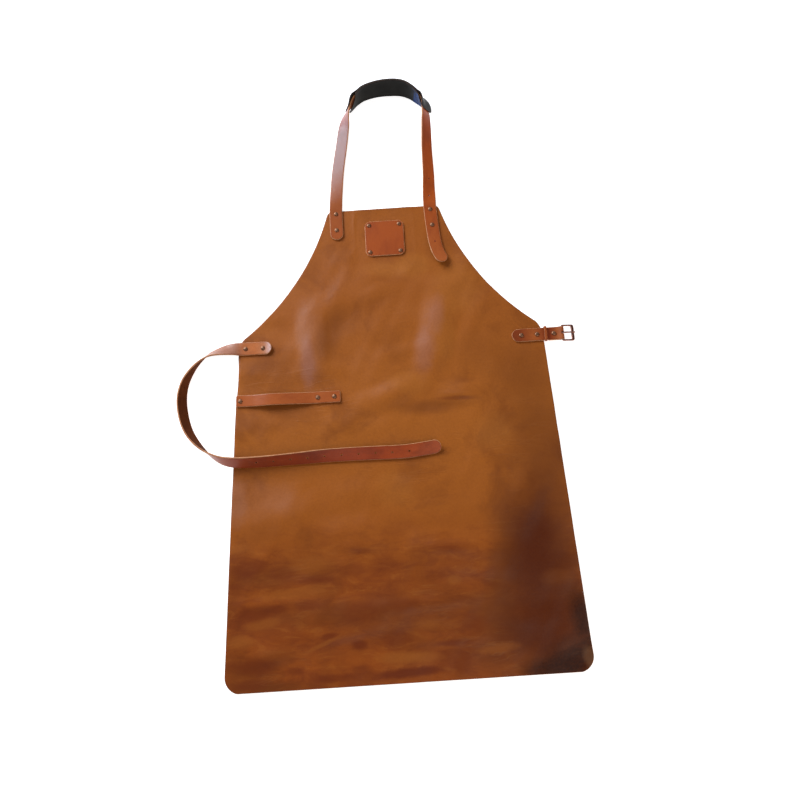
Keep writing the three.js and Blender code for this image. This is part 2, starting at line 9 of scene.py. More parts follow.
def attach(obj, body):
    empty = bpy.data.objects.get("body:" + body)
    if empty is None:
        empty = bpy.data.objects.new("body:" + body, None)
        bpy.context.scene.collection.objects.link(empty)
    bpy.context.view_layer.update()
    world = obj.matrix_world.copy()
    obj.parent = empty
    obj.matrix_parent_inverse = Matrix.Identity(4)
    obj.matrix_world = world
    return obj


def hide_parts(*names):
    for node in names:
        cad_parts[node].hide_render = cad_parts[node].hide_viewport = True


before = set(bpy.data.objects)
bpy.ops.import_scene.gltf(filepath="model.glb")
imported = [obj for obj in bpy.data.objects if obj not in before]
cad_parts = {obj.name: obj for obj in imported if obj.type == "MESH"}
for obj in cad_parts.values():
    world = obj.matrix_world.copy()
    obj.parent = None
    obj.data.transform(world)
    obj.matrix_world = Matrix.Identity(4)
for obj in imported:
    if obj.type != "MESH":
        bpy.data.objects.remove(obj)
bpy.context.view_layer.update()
mm = 0.001  # the tables below are in millimetres, Blender is in metres
scene = bpy.context.scene
scene.view_settings.view_transform = "Standard"
print("frame loaded:", len(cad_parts), "nodes")


# Shader tools

class Sock:
    # an output socket; arithmetic on it adds Math nodes
    def __init__(self, look, socket):
        self.look = look
        self.socket = socket

    def calc(self, operation, first, second=0.0):
        return self.look.node("ShaderNodeMath", {"operation": operation}, {0: first, 1: second})

    def other(self, output):
        return Sock(self.look, self.socket.node.outputs[output])

    def __add__(self, value):
        return self.calc("ADD", self, value)

    def __radd__(self, value):
        return self.calc("ADD", value, self)

    def __sub__(self, value):
        return self.calc("SUBTRACT", self, value)

    def __rsub__(self, value):
        return self.calc("SUBTRACT", value, self)

    def __mul__(self, value):
        return self.calc("MULTIPLY", self, value)

    def __truediv__(self, value):
        return self.calc("DIVIDE", self, value)

    def __abs__(self):
        return self.calc("ABSOLUTE", self)

    def root(self):
        return self.calc("SQRT", self)


class Look:
    # a shader of a material or a world, and the nodes that feed it
    def __init__(self, owner, shaderName, constants):
        owner.use_nodes = True
        self.owner = owner
        self.tree = owner.node_tree
        self.shader = self.tree.nodes[shaderName]
        self.set(constants)

    def set(self, sockets):
        for key, value in sockets.items():
            self.feed(self.shader.inputs[key], value)
        return self.owner

    def feed(self, target, value):
        if isinstance(value, Sock):
            self.tree.links.new(value.socket, target)
        else:
            target.default_value = value

    def node(self, kind, settings=None, sockets=None, output=0):
        made = self.tree.nodes.new(kind)
        for key, value in (settings or {}).items():
            if key == "stops":
                fillRamp(made.color_ramp, value)
            else:
                setattr(made, key, value)
        for key, value in (sockets or {}).items():
            self.feed(made.inputs[key], value)
        return Sock(self, made.outputs[output])

    def attribute(self, name, output):
        return self.node("ShaderNodeAttribute", {"attribute_name": name}, {}, output)

    def stretched(self, vector, scale):
        return self.node("ShaderNodeVectorMath", {"operation": "MULTIPLY"}, {0: vector, 1: scale})

    def noise(self, vector, scale, detail=3.0, rough=0.55, distortion=0.0):
        sockets = {"Vector": vector, "Scale": scale, "Detail": detail, "Roughness": rough}
        return self.node("ShaderNodeTexNoise", {}, {**sockets, "Distortion": distortion})

    def cells(self, vector, scale):
        return self.node("ShaderNodeTexVoronoi", {}, {"Vector": vector, "Scale": scale})

    def between(self, value, low, high):
        sockets = {"Value": value, "From Min": low, "From Max": high}
        return self.node("ShaderNodeMapRange", {"interpolation_type": "SMOOTHSTEP"}, sockets)

    def ramp(self, value, stops):
        return self.node("ShaderNodeValToRGB", {"stops": stops}, {0: value})

    def blend(self, amount, first, second):
        return self.node("ShaderNodeMix", {"data_type": "RGBA"}, {0: amount, 6: first, 7: second}, 2)

    def bump(self, height, depth, strength, under=None):
        sockets = {"Height": height, "Distance": depth, "Strength": strength}
        if under is not None:
            sockets["Normal"] = under
        return self.node("ShaderNodeBump", {}, sockets)


def newLook(name, constants):
    return Look(bpy.data.materials.new(name), "Principled BSDF", constants)


def fillRamp(colorRamp, stops):
    elements = colorRamp.elements
    while len(elements) > len(stops):
        elements.remove(elements[-1])
    while len(elements) < len(stops):
        elements.new(0.5)
    for element, (position, color) in zip(elements, stops):
        element.position = position
        element.color = color


def tone(red, green, blue):
    # a swatch in everyday 0 to 255 values, as the linear colour that Blender wants
    shares = [channel / 255 for channel in (red, green, blue)]
    linear = [s / 12.92 if s <= 0.04045 else ((s + 0.055) / 1.055) ** 2.4 for s in shares]
    return (*linear, 1.0)


def softSpot(x, y, centre, radii, heading, wobble):
    # 0 at the middle of an uneven oval mark, 1 at its rim, more outside
    dx = x - centre[0] * mm
    dy = y - centre[1] * mm
    turn = math.radians(heading)
    if heading:
        dx, dy = dx * math.cos(turn) + dy * math.sin(turn), dy * math.cos(turn) - dx * math.sin(turn)
    along = dx / (radii[0] * mm)
    across = dy / (radii[1] * mm)
    return (along * along + across * across).root() + wobble


# Leathers

panelCut = {
    "length": 846, "hemHalf": 300, "hemCorner": 26, "waistHalf": 274.5, "waistY": 140,
    "waistBend": (273.4, 172), "armholeFoot": (261.5, 182), "armholeBend": (149, 270),
    "topHalf": 103, "topCorner": 10, "topFlare": 3, "hemDrift": -1.5, "topDrift": 3,
    "leather": 2.0, "round": 0.7, "topShare": 0.4, "columns": 150, "rowStep": 4.0,
    "hemSteps": 16, "footSteps": 12, "armholeSteps": 62, "topSteps": 8,
}
panelLook = {
    # colour from the hem (0) to the top (1); the darker hem is in part painted shade, the light falling off
    # away from the head side
    "topToHem": [(0.0, (152, 74, 22)), (0.2, (151, 75, 23)), (0.33, (164, 89, 27)), (0.5, (171, 96, 32)),
                 (0.8, (162, 89, 31)), (1.0, (161, 88, 29))],
    "deep": (116, 56, 18),
    "rust": (112, 46, 17),
    "scuffed": (176, 100, 38),
    "pulled": (182, 118, 60),
    "roughness": 0.38,
    "grainDepth": 0.00010,
    "wrinkleDepth": 0.0005,
    "creaseDepth": 0.0003,
    "skirt": (-0.23, -0.12),
    # centre and radii of the patch of painted shade low on the right
    "shadedPatch": ((232, -300), (95, 165)),
    "stainsAndPaintedShade": [  # colour, then centre, radii, heading and strength of each mark in it; stains, and painted shade
        # stains on the skirt, and painted shade: the right side of the apron, the pinch above the waist strap
        # and the far flanks of the ridges
        ((106, 52, 18), [
            (254, -50, 86, 140, 0, 0.58), (236, -240, 86, 152, 0, 0.75), (166, -268, 34, 78, 0, 0.55),
            (180, -385, 130, 50, 0, 0.6), (-246, 126, 22, 20, 0, 0.25), (64, 35, 64, 15, 0, 0.5),
            (-104, 180, 24, 60, -14, 0.45), (228, 92, 74, 62, 0, 0.38), (-190, -236, 120, 26, 0, 0.4),
            (-140, -305, 160, 26, 0, 0.4), (30, -320, 150, 60, 0, 0.4), (-255, -392, 60, 34, 0, 0.6),
            (180, -180, 34, 90, 0, 0.6), (150, -320, 50, 44, 0, 0.6), (-235, -416, 90, 12, -2, 0.7),
            (274, -140, 20, 42, 0, 0.2), (-206, 132, 44, 40, 0, 0.24), (153, 135, 44, 44, 0, 0.2),
            (106, 56, 44, 12, -4, 0.16), (-204, -368, 32, 18, 0, 0.35), (-73, 205, 30, 34, 0, 0.25),
            (-248, 98, 20, 24, 0, 0.2), (-226, -165, 40, 24, 0, 0.2), (-222, -248, 40, 20, 0, 0.3),
        ]),
        # painted shade: the dark patch low on the right, where the skirt slopes away from the window
        ((85, 32, 6), [
            (224, -218, 52, 114, 0, 0.95), (230, -342, 90, 74, 0, 0.88), (262, -250, 44, 36, 0, 0.5),
            (196, -275, 30, 84, 0, 0.4), (230, -388, 32, 30, 0, 0.5),
        ]),
        # painted shade at its darkest: the core of that patch and the corner of the hem that falls away from
        # the light
        ((46, 15, 2), [
            (291, -336, 25, 62, 8, 0.9), (268, -402, 62, 38, 16, 0.95), (236, -416, 76, 22, 3, 0.85),
        ]),
    ],
    "blotchesAndPaintedLight": [  # the same for small marks with ragged rims: blotches, and painted light
        # small dark blotches on the skirt, and a thin line of painted shade under the pinch
        ((108, 42, 14), [
            (-258, -224, 34, 17, 0, 0.55), (-202, -237, 28, 12, 0, 0.4), (-150, -252, 40, 7, 0, 0.5),
            (-251, -299, 34, 15, 5, 0.65), (-210, -293, 20, 8, 0, 0.6), (-162, -292, 26, 8, 0, 0.5),
            (-129, -342, 20, 6, 8, 0.7), (-172, -356, 14, 6, 0, 0.4), (-79, -359, 14, 9, 0, 0.75),
            (-65, -209, 18, 6, 0, 0.4), (-29, -232, 26, 20, 0, 0.4), (-86, -238, 22, 15, 0, 0.35),
            (-75, -307, 36, 20, 0, 0.45), (-20, -353, 32, 14, 0, 0.5), (-253, -382, 46, 15, 0, 0.6),
            (-185, -393, 19, 7, 0, 0.5), (-119, -408, 40, 8, 0, 0.6), (-4, -407, 66, 9, 3, 0.9),
            (-262, -411, 34, 10, 0, 0.5), (-283, -314, 15, 10, 0, 0.5), (75, -215, 22, 9, 0, 0.4),
            (50, -256, 20, 11, 0, 0.4), (105, -338, 28, 18, 0, 0.5), (70, -365, 28, 6, 0, 0.65),
            (85, -396, 20, 24, 0, 0.5), (-6, -300, 32, 12, 0, 0.4), (-75, -401, 24, 12, 0, 0.4),
            (57, -387, 18, 14, 0, 0.45), (112, 47, 38, 4, -3, 0.4),
        ]),
        ((160, 88, 31), [
            (-277, -343, 28, 12, 0, 0.6), (-235, -317, 32, 9, 8, 0.5), (-198, -272, 66, 10, 0, 0.6),
            (-280, -192, 18, 8, 0, 0.5), (-15, -383, 44, 10, 0, 0.7), (-143, -356, 36, 4, 22, 0.5),
            (-149, -224, 34, 18, 0, 0.5), (83, -265, 13, 9, 0, 0.6), (23, -385, 36, 10, 0, 0.5),
            (255, -270, 30, 15, 8, 0.16), (146, -378, 34, 9, 6, 0.45), (34, -333, 24, 10, 0, 0.45),
        ]),
        # painted highlight on the curled tip of the corner
        ((112, 74, 48), [(292, -402, 10, 21, 8, 0.65)]),
        # painted highlight along the crease above that corner
        ((90, 42, 18), [(268, -375, 36, 6, 22, 0.5)]),
        # painted light: brighter patches on the bib, on the fold above the waist strap and on the upper skirt
        ((176, 104, 40), [
            (128, 258, 50, 66, 0, 0.5), (98, 170, 26, 60, -8, 0.5), (-5, -105, 36, 36, 0, 0.4),
            (50, 305, 34, 26, 0, 0.6), (3, 300, 44, 18, 0, 0.5), (168, -17, 34, 34, 0, 0.5),
            (29, 82, 40, 24, 0, 0.5),
        ]),
        # painted lavender sheen on the left of the skirt and along the left ridge
        ((156, 104, 80), [
            (-281, -108, 24, 44, 0, 0.42), (-222, -112, 60, 34, 0, 0.2), (-140, 172, 26, 80, 0, 0.28),
        ]),
        # painted sheen on the two ridges of the bib
        ((158, 110, 100), [
            (62, 142, 20, 52, -8, 0.26), (-147, 128, 14, 46, 0, 0.35), (88, 205, 16, 40, -8, 0.25),
        ]),
    ],
}


def makePanelLeather():
    look = newLook("panelLeather", {"Specular IOR Level": 0.27})
    cut = look.attribute("cut", "Vector")
    x = look.node("ShaderNodeSeparateXYZ", {}, {0: cut}, 0)
    y = x.other(1)
    # darker towards the hem, in part painted shade of the light falling off away from the head side
    stops = [(position, tone(*color)) for position, color in panelLook["topToHem"]]
    color = look.ramp(y / (panelCut["length"] * mm) + 0.5, stops)
    clouds = look.noise(cut, 9.0, 5.0, 0.62, 0.5)
    color = look.blend(look.between(clouds, 0.46, 0.7) * 0.5, color, tone(*panelLook["deep"]))
    # uneven patches across the skirt of the apron
    patches = look.noise(look.stretched(cut, (9.0, 20.0, 1.0)), 1.0, 6.0, 0.62, 0.7)
    skirt = 1 - look.between(y, *panelLook["skirt"])
    color = look.blend(look.between(patches, 0.44, 0.66) * skirt * 0.42, color, tone(*panelLook["rust"]))
    scuffs = look.noise(look.stretched(cut, (20.0, 58.0, 1.0)), 1.0, 6.0, 0.66, 0.8)
    color = look.blend(look.between(scuffs, 0.5, 0.66) * skirt * 0.34, color, tone(*panelLook["rust"]))
    rubbed = 1 - look.between(scuffs, 0.34, 0.48)
    color = look.blend(rubbed * skirt * 0.3, color, tone(*panelLook["scuffed"]))
    slowWobble = (look.noise(cut, 13.0, 5.0, 0.6) - 0.5) * 0.6
    raggedWobble = (look.noise(cut, 24.0, 6.0, 0.66) - 0.5) * 1.2
    # every mark blends its colour in: stains and blotches, and painted shade, sheen and highlights alike
    for kind, wobble, core in (("stainsAndPaintedShade", slowWobble, 0.2), ("blotchesAndPaintedLight", raggedWobble, 0.35)):
        for markColor, marks in panelLook[kind]:
            for markX, markY, radiusX, radiusY, heading, strength in marks:
                spot = softSpot(x, y, (markX, markY), (radiusX, radiusY), heading, wobble)
                color = look.blend((1 - look.between(spot, core, 1.3)) * strength, color, tone(*markColor))
    # waxed leather turns lighter where it has been creased, but not in the patch of painted shade low on the
    # right
    shadedPatch = 1 - look.between(softSpot(x, y, *panelLook["shadedPatch"], 0, slowWobble), 0.5, 1.2)
    lines = look.noise(look.stretched(cut, (7.0, 46.0, 1.0)), 1.0, 3.0, 0.55, 0.5)
    crease = 1 - look.between(abs(lines - 0.5), 0.0, 0.03)
    worn = look.between(look.noise(cut, 7.0, 2.0), 0.48, 0.68) * (1 - shadedPatch)
    color = look.blend(crease * worn * (0.05 + skirt * 0.08), color, tone(*panelLook["pulled"]))
    fine = look.noise(cut, 260.0, 3.0, 0.6)
    color = look.blend(look.between(fine, 0.3, 0.75) * 0.16, color, tone(*panelLook["deep"]))
    pores = look.cells(cut, 900.0)
    height = pores * 0.6 + look.noise(cut, 420.0, 4.0, 0.6) * 0.5
    wrinkles = look.bump(look.noise(cut, 75.0, 4.0, 0.6, 0.4), panelLook["wrinkleDepth"], 0.6)
    fineBump = look.bump(height, panelLook["grainDepth"], 0.7, wrinkles)
    bump = look.bump(crease * worn, panelLook["creaseDepth"], 0.5, fineBump)
    rough = panelLook["roughness"] + (look.noise(cut, 20.0, 3.0) - 0.5) * 0.16 - skirt * 0.03
    return look.set({"Base Color": color, "Roughness": rough, "Normal": bump})


def makeStrapLeather(name, shades, deep, worn):
    # shades: distance along the strap and its colour there; for the waist, neck and tab straps they hold
    # painted sheen and painted shade as well
    look = newLook(name, {"Specular IOR Level": 0.32})
    cut = look.attribute("cut", "Vector")
    rim = look.attribute("rim", "Fac")
    clouds = look.noise(look.stretched(cut, (1.0, 0.45, 1.0)), 34.0, 4.0, 0.6)
    distance = look.node("ShaderNodeSeparateXYZ", {}, {0: cut}, "Y")
    grain = look.ramp(distance, [(share, tone(*shade)) for share, shade in shades])
    color = look.blend(look.between(clouds, 0.42, 0.7) * 0.5, grain, tone(*deep))
    fine = look.noise(cut, 420.0, 3.0, 0.6)
    color = look.blend(look.between(fine, 0.35, 0.8) * 0.2, color, tone(*deep))
    scratch = look.noise(look.stretched(cut, (260.0, 34.0, 1.0)), 1.0, 2.0, 0.5, 0.6)
    color = look.blend(look.between(scratch, 0.66, 0.74) * 0.22, color, tone(*worn))
    burnish = 1 - look.between(rim, 0.0006, 0.0032)
    color = look.blend(burnish * 0.35, color, tone(*deep))
    height = look.cells(cut, 1150.0) * 0.5 + look.noise(cut, 520.0, 4.0, 0.6) * 0.5
    rough = 0.31 + (clouds - 0.5) * 0.12 + (fine - 0.5) * 0.06
    return look.set({"Base Color": color, "Roughness": rough, "Normal": look.bump(height, 0.00008, 0.6)})


def makeCutEdge(name, fibre, dark):
    # the raw edge of the leather: layers of fibre, darkened in places
    look = newLook(name, {"Specular IOR Level": 0.25})
    cut = look.attribute("cut", "Vector")
    layers = look.noise(look.stretched(cut, (120.0, 120.0, 2600.0)), 1.0, 3.0, 0.6)
    color = look.blend(look.between(layers, 0.35, 0.75) * 0.75, tone(*fibre), tone(*dark))
    patches = look.noise(cut, 45.0, 3.0, 0.6)
    color = look.blend(look.between(patches, 0.45, 0.7) * 0.5, color, tone(*dark))
    rough = 0.62 + (layers - 0.5) * 0.2
    return look.set({"Base Color": color, "Roughness": rough, "Normal": look.bump(layers, 0.0001, 0.5)})


def makeFleshSide(name, nap, dark):
    look = newLook(name, {"Specular IOR Level": 0.06})
    cut = look.attribute("cut", "Vector")
    fuzz = look.noise(cut, 700.0, 5.0, 0.7)
    clouds = look.noise(cut, 30.0, 3.0, 0.6)
    color = look.blend(look.between(fuzz, 0.3, 0.75) * 0.6, tone(*nap), tone(*dark))
    color = look.blend(look.between(clouds, 0.4, 0.7) * 0.4, color, tone(*dark))
    rough = 0.8 + (fuzz - 0.5) * 0.2
    return look.set({"Base Color": color, "Roughness": rough, "Normal": look.bump(fuzz, 0.0002, 0.7)})


def makePadLeather():
    # black, with a painted bluish reflection of the window in streaks, from 122 to 164 mm along each layer
    look = newLook("padLeather", {"Specular IOR Level": 0.04})
    cut = look.attribute("cut", "Vector")
    distance = look.node("ShaderNodeSeparateXYZ", {}, {0: cut}, "Y")
    clouds = look.noise(cut, 26.0, 4.0, 0.6)
    color = look.blend(look.between(clouds, 0.4, 0.7), tone(37, 36, 34), tone(29, 29, 28))
    streaks = look.noise(look.stretched(cut, (16.0, 240.0, 1.0)), 1.0, 3.0, 0.5, 0.3)
    # painted bluish reflection of the window
    paintedBlueSheen = look.between(distance + (streaks - 0.5) * 0.03, 0.122, 0.142)
    paintedBlueSheen = paintedBlueSheen * (1 - look.between(distance, 0.158, 0.164))
    color = look.blend(paintedBlueSheen * look.between(streaks, 0.3, 0.6) * 0.9, color, tone(38, 68, 126))
    pebble = look.cells(cut, 700.0)
    height = pebble * 0.7 + look.noise(cut, 380.0, 4.0, 0.6) * 0.4
    rough = 0.38 + (clouds - 0.5) * 0.14
    return look.set({"Base Color": color, "Roughness": rough, "Normal": look.bump(height, 0.00012, 0.7)})


def makeMetal(name, bright, dull, grime, roughness):
    # aged plated metal, bright where it is rubbed and dark in the low places
    look = newLook(name, {"Metallic": 1.0})
    spot = look.node("ShaderNodeTexCoord", {}, {}, "Object")
    facing = look.node("ShaderNodeNewGeometry", {}, {}, "Pointiness")
    clouds = look.noise(spot, 420.0, 4.0, 0.6)
    pits = look.noise(spot, 1900.0, 3.0, 0.6)
    color = look.blend(look.between(clouds, 0.35, 0.7), tone(*bright), tone(*dull))
    color = look.blend(1 - look.between(facing, 0.44, 0.52), color, tone(*grime))
    color = look.blend(look.between(pits, 0.6, 0.75) * 0.5, color, tone(*grime))
    rough = roughness + (clouds - 0.5) * 0.2 + (pits - 0.5) * 0.12
    return look.set({"Base Color": color, "Roughness": rough, "Normal": look.bump(pits, 0.00006, 0.5)})


panelLeather = makePanelLeather()
panelEdge = makeCutEdge("panelEdge", (150, 92, 46), (92, 48, 22))
panelFlesh = makeFleshSide("panelFlesh", (150, 104, 66), (112, 72, 42))
strapLeather = makeStrapLeather("strapLeather", [(0, (175, 91, 43))], (140, 60, 25), (192, 118, 72))
# colour along each strap by distance in metres: the leather's tone, with painted sheen and painted shade
strapTonesSheenAndShade = {
    # waist: painted sheen at the tip and past the rivets; the deep red of the return run is in part painted
    # shade
    "waist": [
        (0.0, (206, 166, 156)), (0.014, (192, 122, 82)), (0.03, (196, 113, 62)), (0.05, (190, 110, 62)),
        (0.066, (178, 124, 100)), (0.1, (172, 116, 90)), (0.125, (166, 92, 52)), (0.36, (160, 68, 27)),
        (0.5, (158, 61, 25)), (0.6, (170, 66, 23)), (0.73, (182, 81, 33)),
    ],
    # neck: painted lavender sheen on the left side, where it twists up into the pad
    "neck": [
        (0.0, (164, 82, 36)), (0.1, (154, 84, 42)), (0.15, (124, 67, 47)), (0.22, (112, 64, 56)),
        (0.243, (170, 130, 128)), (0.262, (172, 124, 116)), (0.29, (150, 72, 36)), (0.42, (176, 74, 26)),
        (0.62, (188, 86, 30)), (0.66, (164, 76, 28)), (0.77, (178, 94, 44)),
    ],
    # tab: painted shade at its round end and beside the keeper
    "tab": [
        (0.0, (128, 56, 26)), (0.018, (140, 64, 28)), (0.04, (174, 92, 42)), (0.056, (152, 70, 32)),
        (0.068, (142, 57, 26)), (0.082, (172, 94, 48)),
    ],
}
waistLeather = makeStrapLeather("waistLeather", strapTonesSheenAndShade["waist"], (112, 42, 17), (180, 104, 62))
neckLeather = makeStrapLeather("neckLeather", strapTonesSheenAndShade["neck"], (132, 54, 22), (190, 116, 74))
tabLeather = makeStrapLeather("tabLeather", strapTonesSheenAndShade["tab"], (120, 50, 20), (188, 112, 68))
strapEdge = makeCutEdge("strapEdge", (206, 148, 104), (150, 84, 46))
strapFlesh = makeFleshSide("strapFlesh", (100, 47, 15), (64, 28, 8))
patchLeather = makeStrapLeather("patchLeather", [(0, (168, 80, 34))], (142, 60, 25), (188, 108, 62))
padLeather = makePadLeather()
padEdge = makeCutEdge("padEdge", (66, 48, 38), (26, 22, 20))
rivetMetal = makeMetal("rivetMetal", (164, 120, 92), (116, 80, 58), (62, 40, 28), 0.56)
buckleMetal = makeMetal("buckleMetal", (182, 130, 112), (108, 66, 52), (48, 27, 20), 0.34)
print("materials ready")


# Mesh tools

def smoothStep(share):
    share = np.clip(share, 0.0, 1.0)
    return share * share * (3 - 2 * share)


def addPiece(name, mesh, materials, node, body="apron"):
    piece = bpy.data.objects.new(name, mesh)
    scene.collection.objects.link(piece)
    for material in materials:
        mesh.materials.append(material)
    mesh.shade_smooth()
    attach(piece, body)
    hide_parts(node)
    return piece


def storeOnPoints(mesh, name, kind, key, values):
    attribute = mesh.attributes.new(name, kind, "POINT")
    attribute.data.foreach_set(key, (values * mm).astype(np.float32).ravel())


def faceOut(mesh):
    shell = bmesh.new()
    shell.from_mesh(mesh)
    bmesh.ops.recalc_face_normals(shell, faces=shell.faces)
    shell.to_mesh(mesh)
    shell.free()


def rimRings(leather, edgeRound, topShare):
    # sideways and height steps of a rounded cut edge, from the grain face to the flesh face
    top = leather / 2
    steps = []
    for degrees in (30, 60, 90):
        turn = math.radians(degrees)
        steps.append((edgeRound * math.sin(turn), top - topShare * leather * (1 - math.cos(turn))))
    roundedShare = 0.85
    fleshShare = roundedShare - topShare
    for degrees in (90, 55, 25):
        turn = math.radians(degrees)
        steps.append((edgeRound * math.sin(turn), -top + fleshShare * leather * (1 - math.cos(turn))))
    return steps


def leatherSheet(name, rows, columns, leather, place, edgeRound, topShare, press=None):
    # a closed sheet cut from leather. rows: distance along, left edge, right edge of the flat cut
    # place(across, along, height) bends the flat cut; press(across, along) dents its grain face
    along, left, right = np.array(rows, float).T
    share = np.linspace(0.0, 1.0, columns + 1)
    across = left[:, None] + (right - left)[:, None] * share[None, :]
    length = np.repeat(along[:, None], columns + 1, axis=1)
    rowCount = len(along)
    index = np.arange(rowCount * (columns + 1)).reshape(rowCount, columns + 1)
    loop = np.concatenate([index[0, :-1], index[:-1, -1], index[-1, :0:-1], index[:0:-1, 0]])
    flat = np.stack([across.ravel(), length.ravel()], axis=1)
    edge = flat[loop]
    heading = np.roll(edge, -1, axis=0) - np.roll(edge, 1, axis=0)
    heading /= np.linalg.norm(heading, axis=1)[:, None]
    outward = np.stack([heading[:, 1], -heading[:, 0]], axis=1)
    reach = np.minimum(across - left[:, None], right[:, None] - across).ravel()
    ends = np.minimum(flat[:, 1] - along[0], along[-1] - flat[:, 1])
    inside = np.minimum(reach, ends) + edgeRound
    dent = np.zeros(len(flat)) if press is None else press(flat[:, 0], flat[:, 1])
    layers = [np.column_stack([flat, np.full(len(flat), leather / 2) - dent])]
    layers.append(np.column_stack([flat, np.full(len(flat), -leather / 2)]))
    for step, height in rimRings(leather, edgeRound, topShare):
        layers.append(np.column_stack([edge + outward * step, np.full(len(edge), height)]))
    cut = np.concatenate(layers)
    rim = np.concatenate([inside, inside, np.zeros(len(cut) - 2 * len(flat))])
    low, high = index[:-1, :-1], index[1:, :-1]
    quads = np.stack([low, low + 1, high + 1, high], axis=-1).reshape(-1, 4)
    below = quads[:, ::-1] + len(flat)
    rings = [loop]
    start = 2 * len(flat)
    for _ in range(len(layers) - 2):
        rings.append(np.arange(start, start + len(loop)))
        start += len(loop)
    rings.append(loop + len(flat))
    walls = []
    for upper, lower in zip(rings, rings[1:]):
        walls.append(np.stack([upper, lower, np.roll(lower, -1), np.roll(upper, -1)], axis=1))
    walls = np.concatenate(walls)
    points = place(cut[:, 0], cut[:, 1], cut[:, 2]) * mm
    mesh = bpy.data.meshes.new(name)
    mesh.from_pydata(points.tolist(), [], np.concatenate([quads, below, walls]).tolist())
    faceKind = np.repeat([0, 2, 1], [len(quads), len(below), len(walls)])
    mesh.polygons.foreach_set("material_index", faceKind.astype(np.int32))
    storeOnPoints(mesh, "cut", "FLOAT_VECTOR", "vector", cut)
    storeOnPoints(mesh, "rim", "FLOAT", "value", rim)
    faceOut(mesh)
    return mesh


def lathe(name, profile, sides):
    # turns a profile of (radius, height) about the upright axis; it starts and ends on the axis
    shell = bmesh.new()
    rings = []
    for radius, height in profile:
        if radius < 1e-6:
            rings.append([shell.verts.new((0, 0, height * mm))])
            continue
        ring = []
        for side in range(sides):
            turn = 2 * math.pi * side / sides
            corner = Vector((radius * math.cos(turn), radius * math.sin(turn), height))
            ring.append(shell.verts.new(corner * mm))
        rings.append(ring)
    for lower, upper in zip(rings, rings[1:]):
        for side in range(sides):
            corners = [ring[k % len(ring)] for ring, k in
                       ((lower, side), (lower, side + 1), (upper, side + 1), (upper, side))]
            shell.faces.new(list(dict.fromkeys(corners)))
    bmesh.ops.recalc_face_normals(shell, faces=shell.faces)
    mesh = bpy.data.meshes.new(name)
    shell.to_mesh(mesh)
    shell.free()
    return mesh


def sweep(name, stations, closed):
    # joins rings of points, all with the same count, into a closed skin
    count = len(stations[0])
    points = np.concatenate(stations) * mm
    faces = []
    last = len(stations) if closed else len(stations) - 1
    for row in range(last):
        here, there = row * count, (row + 1) % len(stations) * count
        for k in range(count):
            faces.append((here + k, here + (k + 1) % count, there + (k + 1) % count, there + k))
    if not closed:
        faces.append(tuple(range(count)))
        faces.append(tuple(range((len(stations) - 1) * count, len(stations) * count)))
    mesh = bpy.data.meshes.new(name)
    mesh.from_pydata(points.tolist(), [], faces)
    faceOut(mesh)
    return mesh


def cornerLoop(left, right, half, corner, perCorner, perSide=0):
    # a rounded rectangle as a loop of points, with the same count whatever its size
    loop = []
    centres = [(right - corner, half - corner, 0), (left + corner, half - corner, 90),
               (left + corner, corner - half, 180), (right - corner, corner - half, 270)]
    for k, (x, y, startTurn) in enumerate(centres):
        for degrees in np.linspace(startTurn, startTurn + 90, perCorner):
            turn = math.radians(degrees)
            loop.append((x + corner * math.cos(turn), y + corner * math.sin(turn)))
        nextX, nextY, nextTurn = centres[(k + 1) % 4]
        turn = math.radians(nextTurn)
        there = (nextX + corner * math.cos(turn), nextY + corner * math.sin(turn))
        here = loop[-1]
        for part in np.linspace(0, 1, perSide + 2)[1:-1]:
            loop.append((here[0] + (there[0] - here[0]) * part, here[1] + (there[1] - here[1]) * part))
    return np.array(loop)


def softTurn(value, power):
    # bends a sine or cosine so that the section turns squarer than a circle
    return math.copysign(abs(value) ** power, value)


def punch(piece, cutters):
    # cuts holes through a piece; the walls of a hole take the dark flesh-side look, as painted shade inside
    # the hole
    joined = bmesh.new()
    for mesh in cutters:
        joined.from_mesh(mesh)
        bpy.data.meshes.remove(mesh)
    for face in joined.faces:
        face.material_index = 2
    mesh = bpy.data.meshes.new("punches")
    joined.to_mesh(mesh)
    joined.free()
    for material in piece.data.materials:
        mesh.materials.append(material)
    tool = bpy.data.objects.new("punches", mesh)
    scene.collection.objects.link(tool)
    cutting = piece.modifiers.new("holes", "BOOLEAN")
    cutting.operation = "DIFFERENCE"
    cutting.solver = "EXACT"
    cutting.object = tool
    depsgraph = bpy.context.evaluated_depsgraph_get()
    cutMesh = bpy.data.meshes.new_from_object(piece.evaluated_get(depsgraph))
    piece.modifiers.clear()
    piece.data = cutMesh
    bpy.data.objects.remove(tool)
    sharpTurn = math.radians(50)
    cutMesh.set_sharp_from_angle(angle=sharpTurn)


def rod(start, end, radius, sides=24):
    # a round cutter between two points, in millimetres
    start, end = Vector(start), Vector(end)
    shell = bmesh.new()
    turn = (end - start).to_track_quat("Z", "Y").to_matrix().to_4x4()
    matrix = Matrix.Translation((start + end) / 2 * mm) @ turn
    bmesh.ops.create_cone(shell, cap_ends=True, segments=sides, radius1=radius * mm, radius2=radius * mm,
                          depth=(end - start).length * mm, matrix=matrix)
    mesh = bpy.data.meshes.new("punch")
    shell.to_mesh(mesh)
    shell.free()
    return mesh


# Routes that the straps lie along

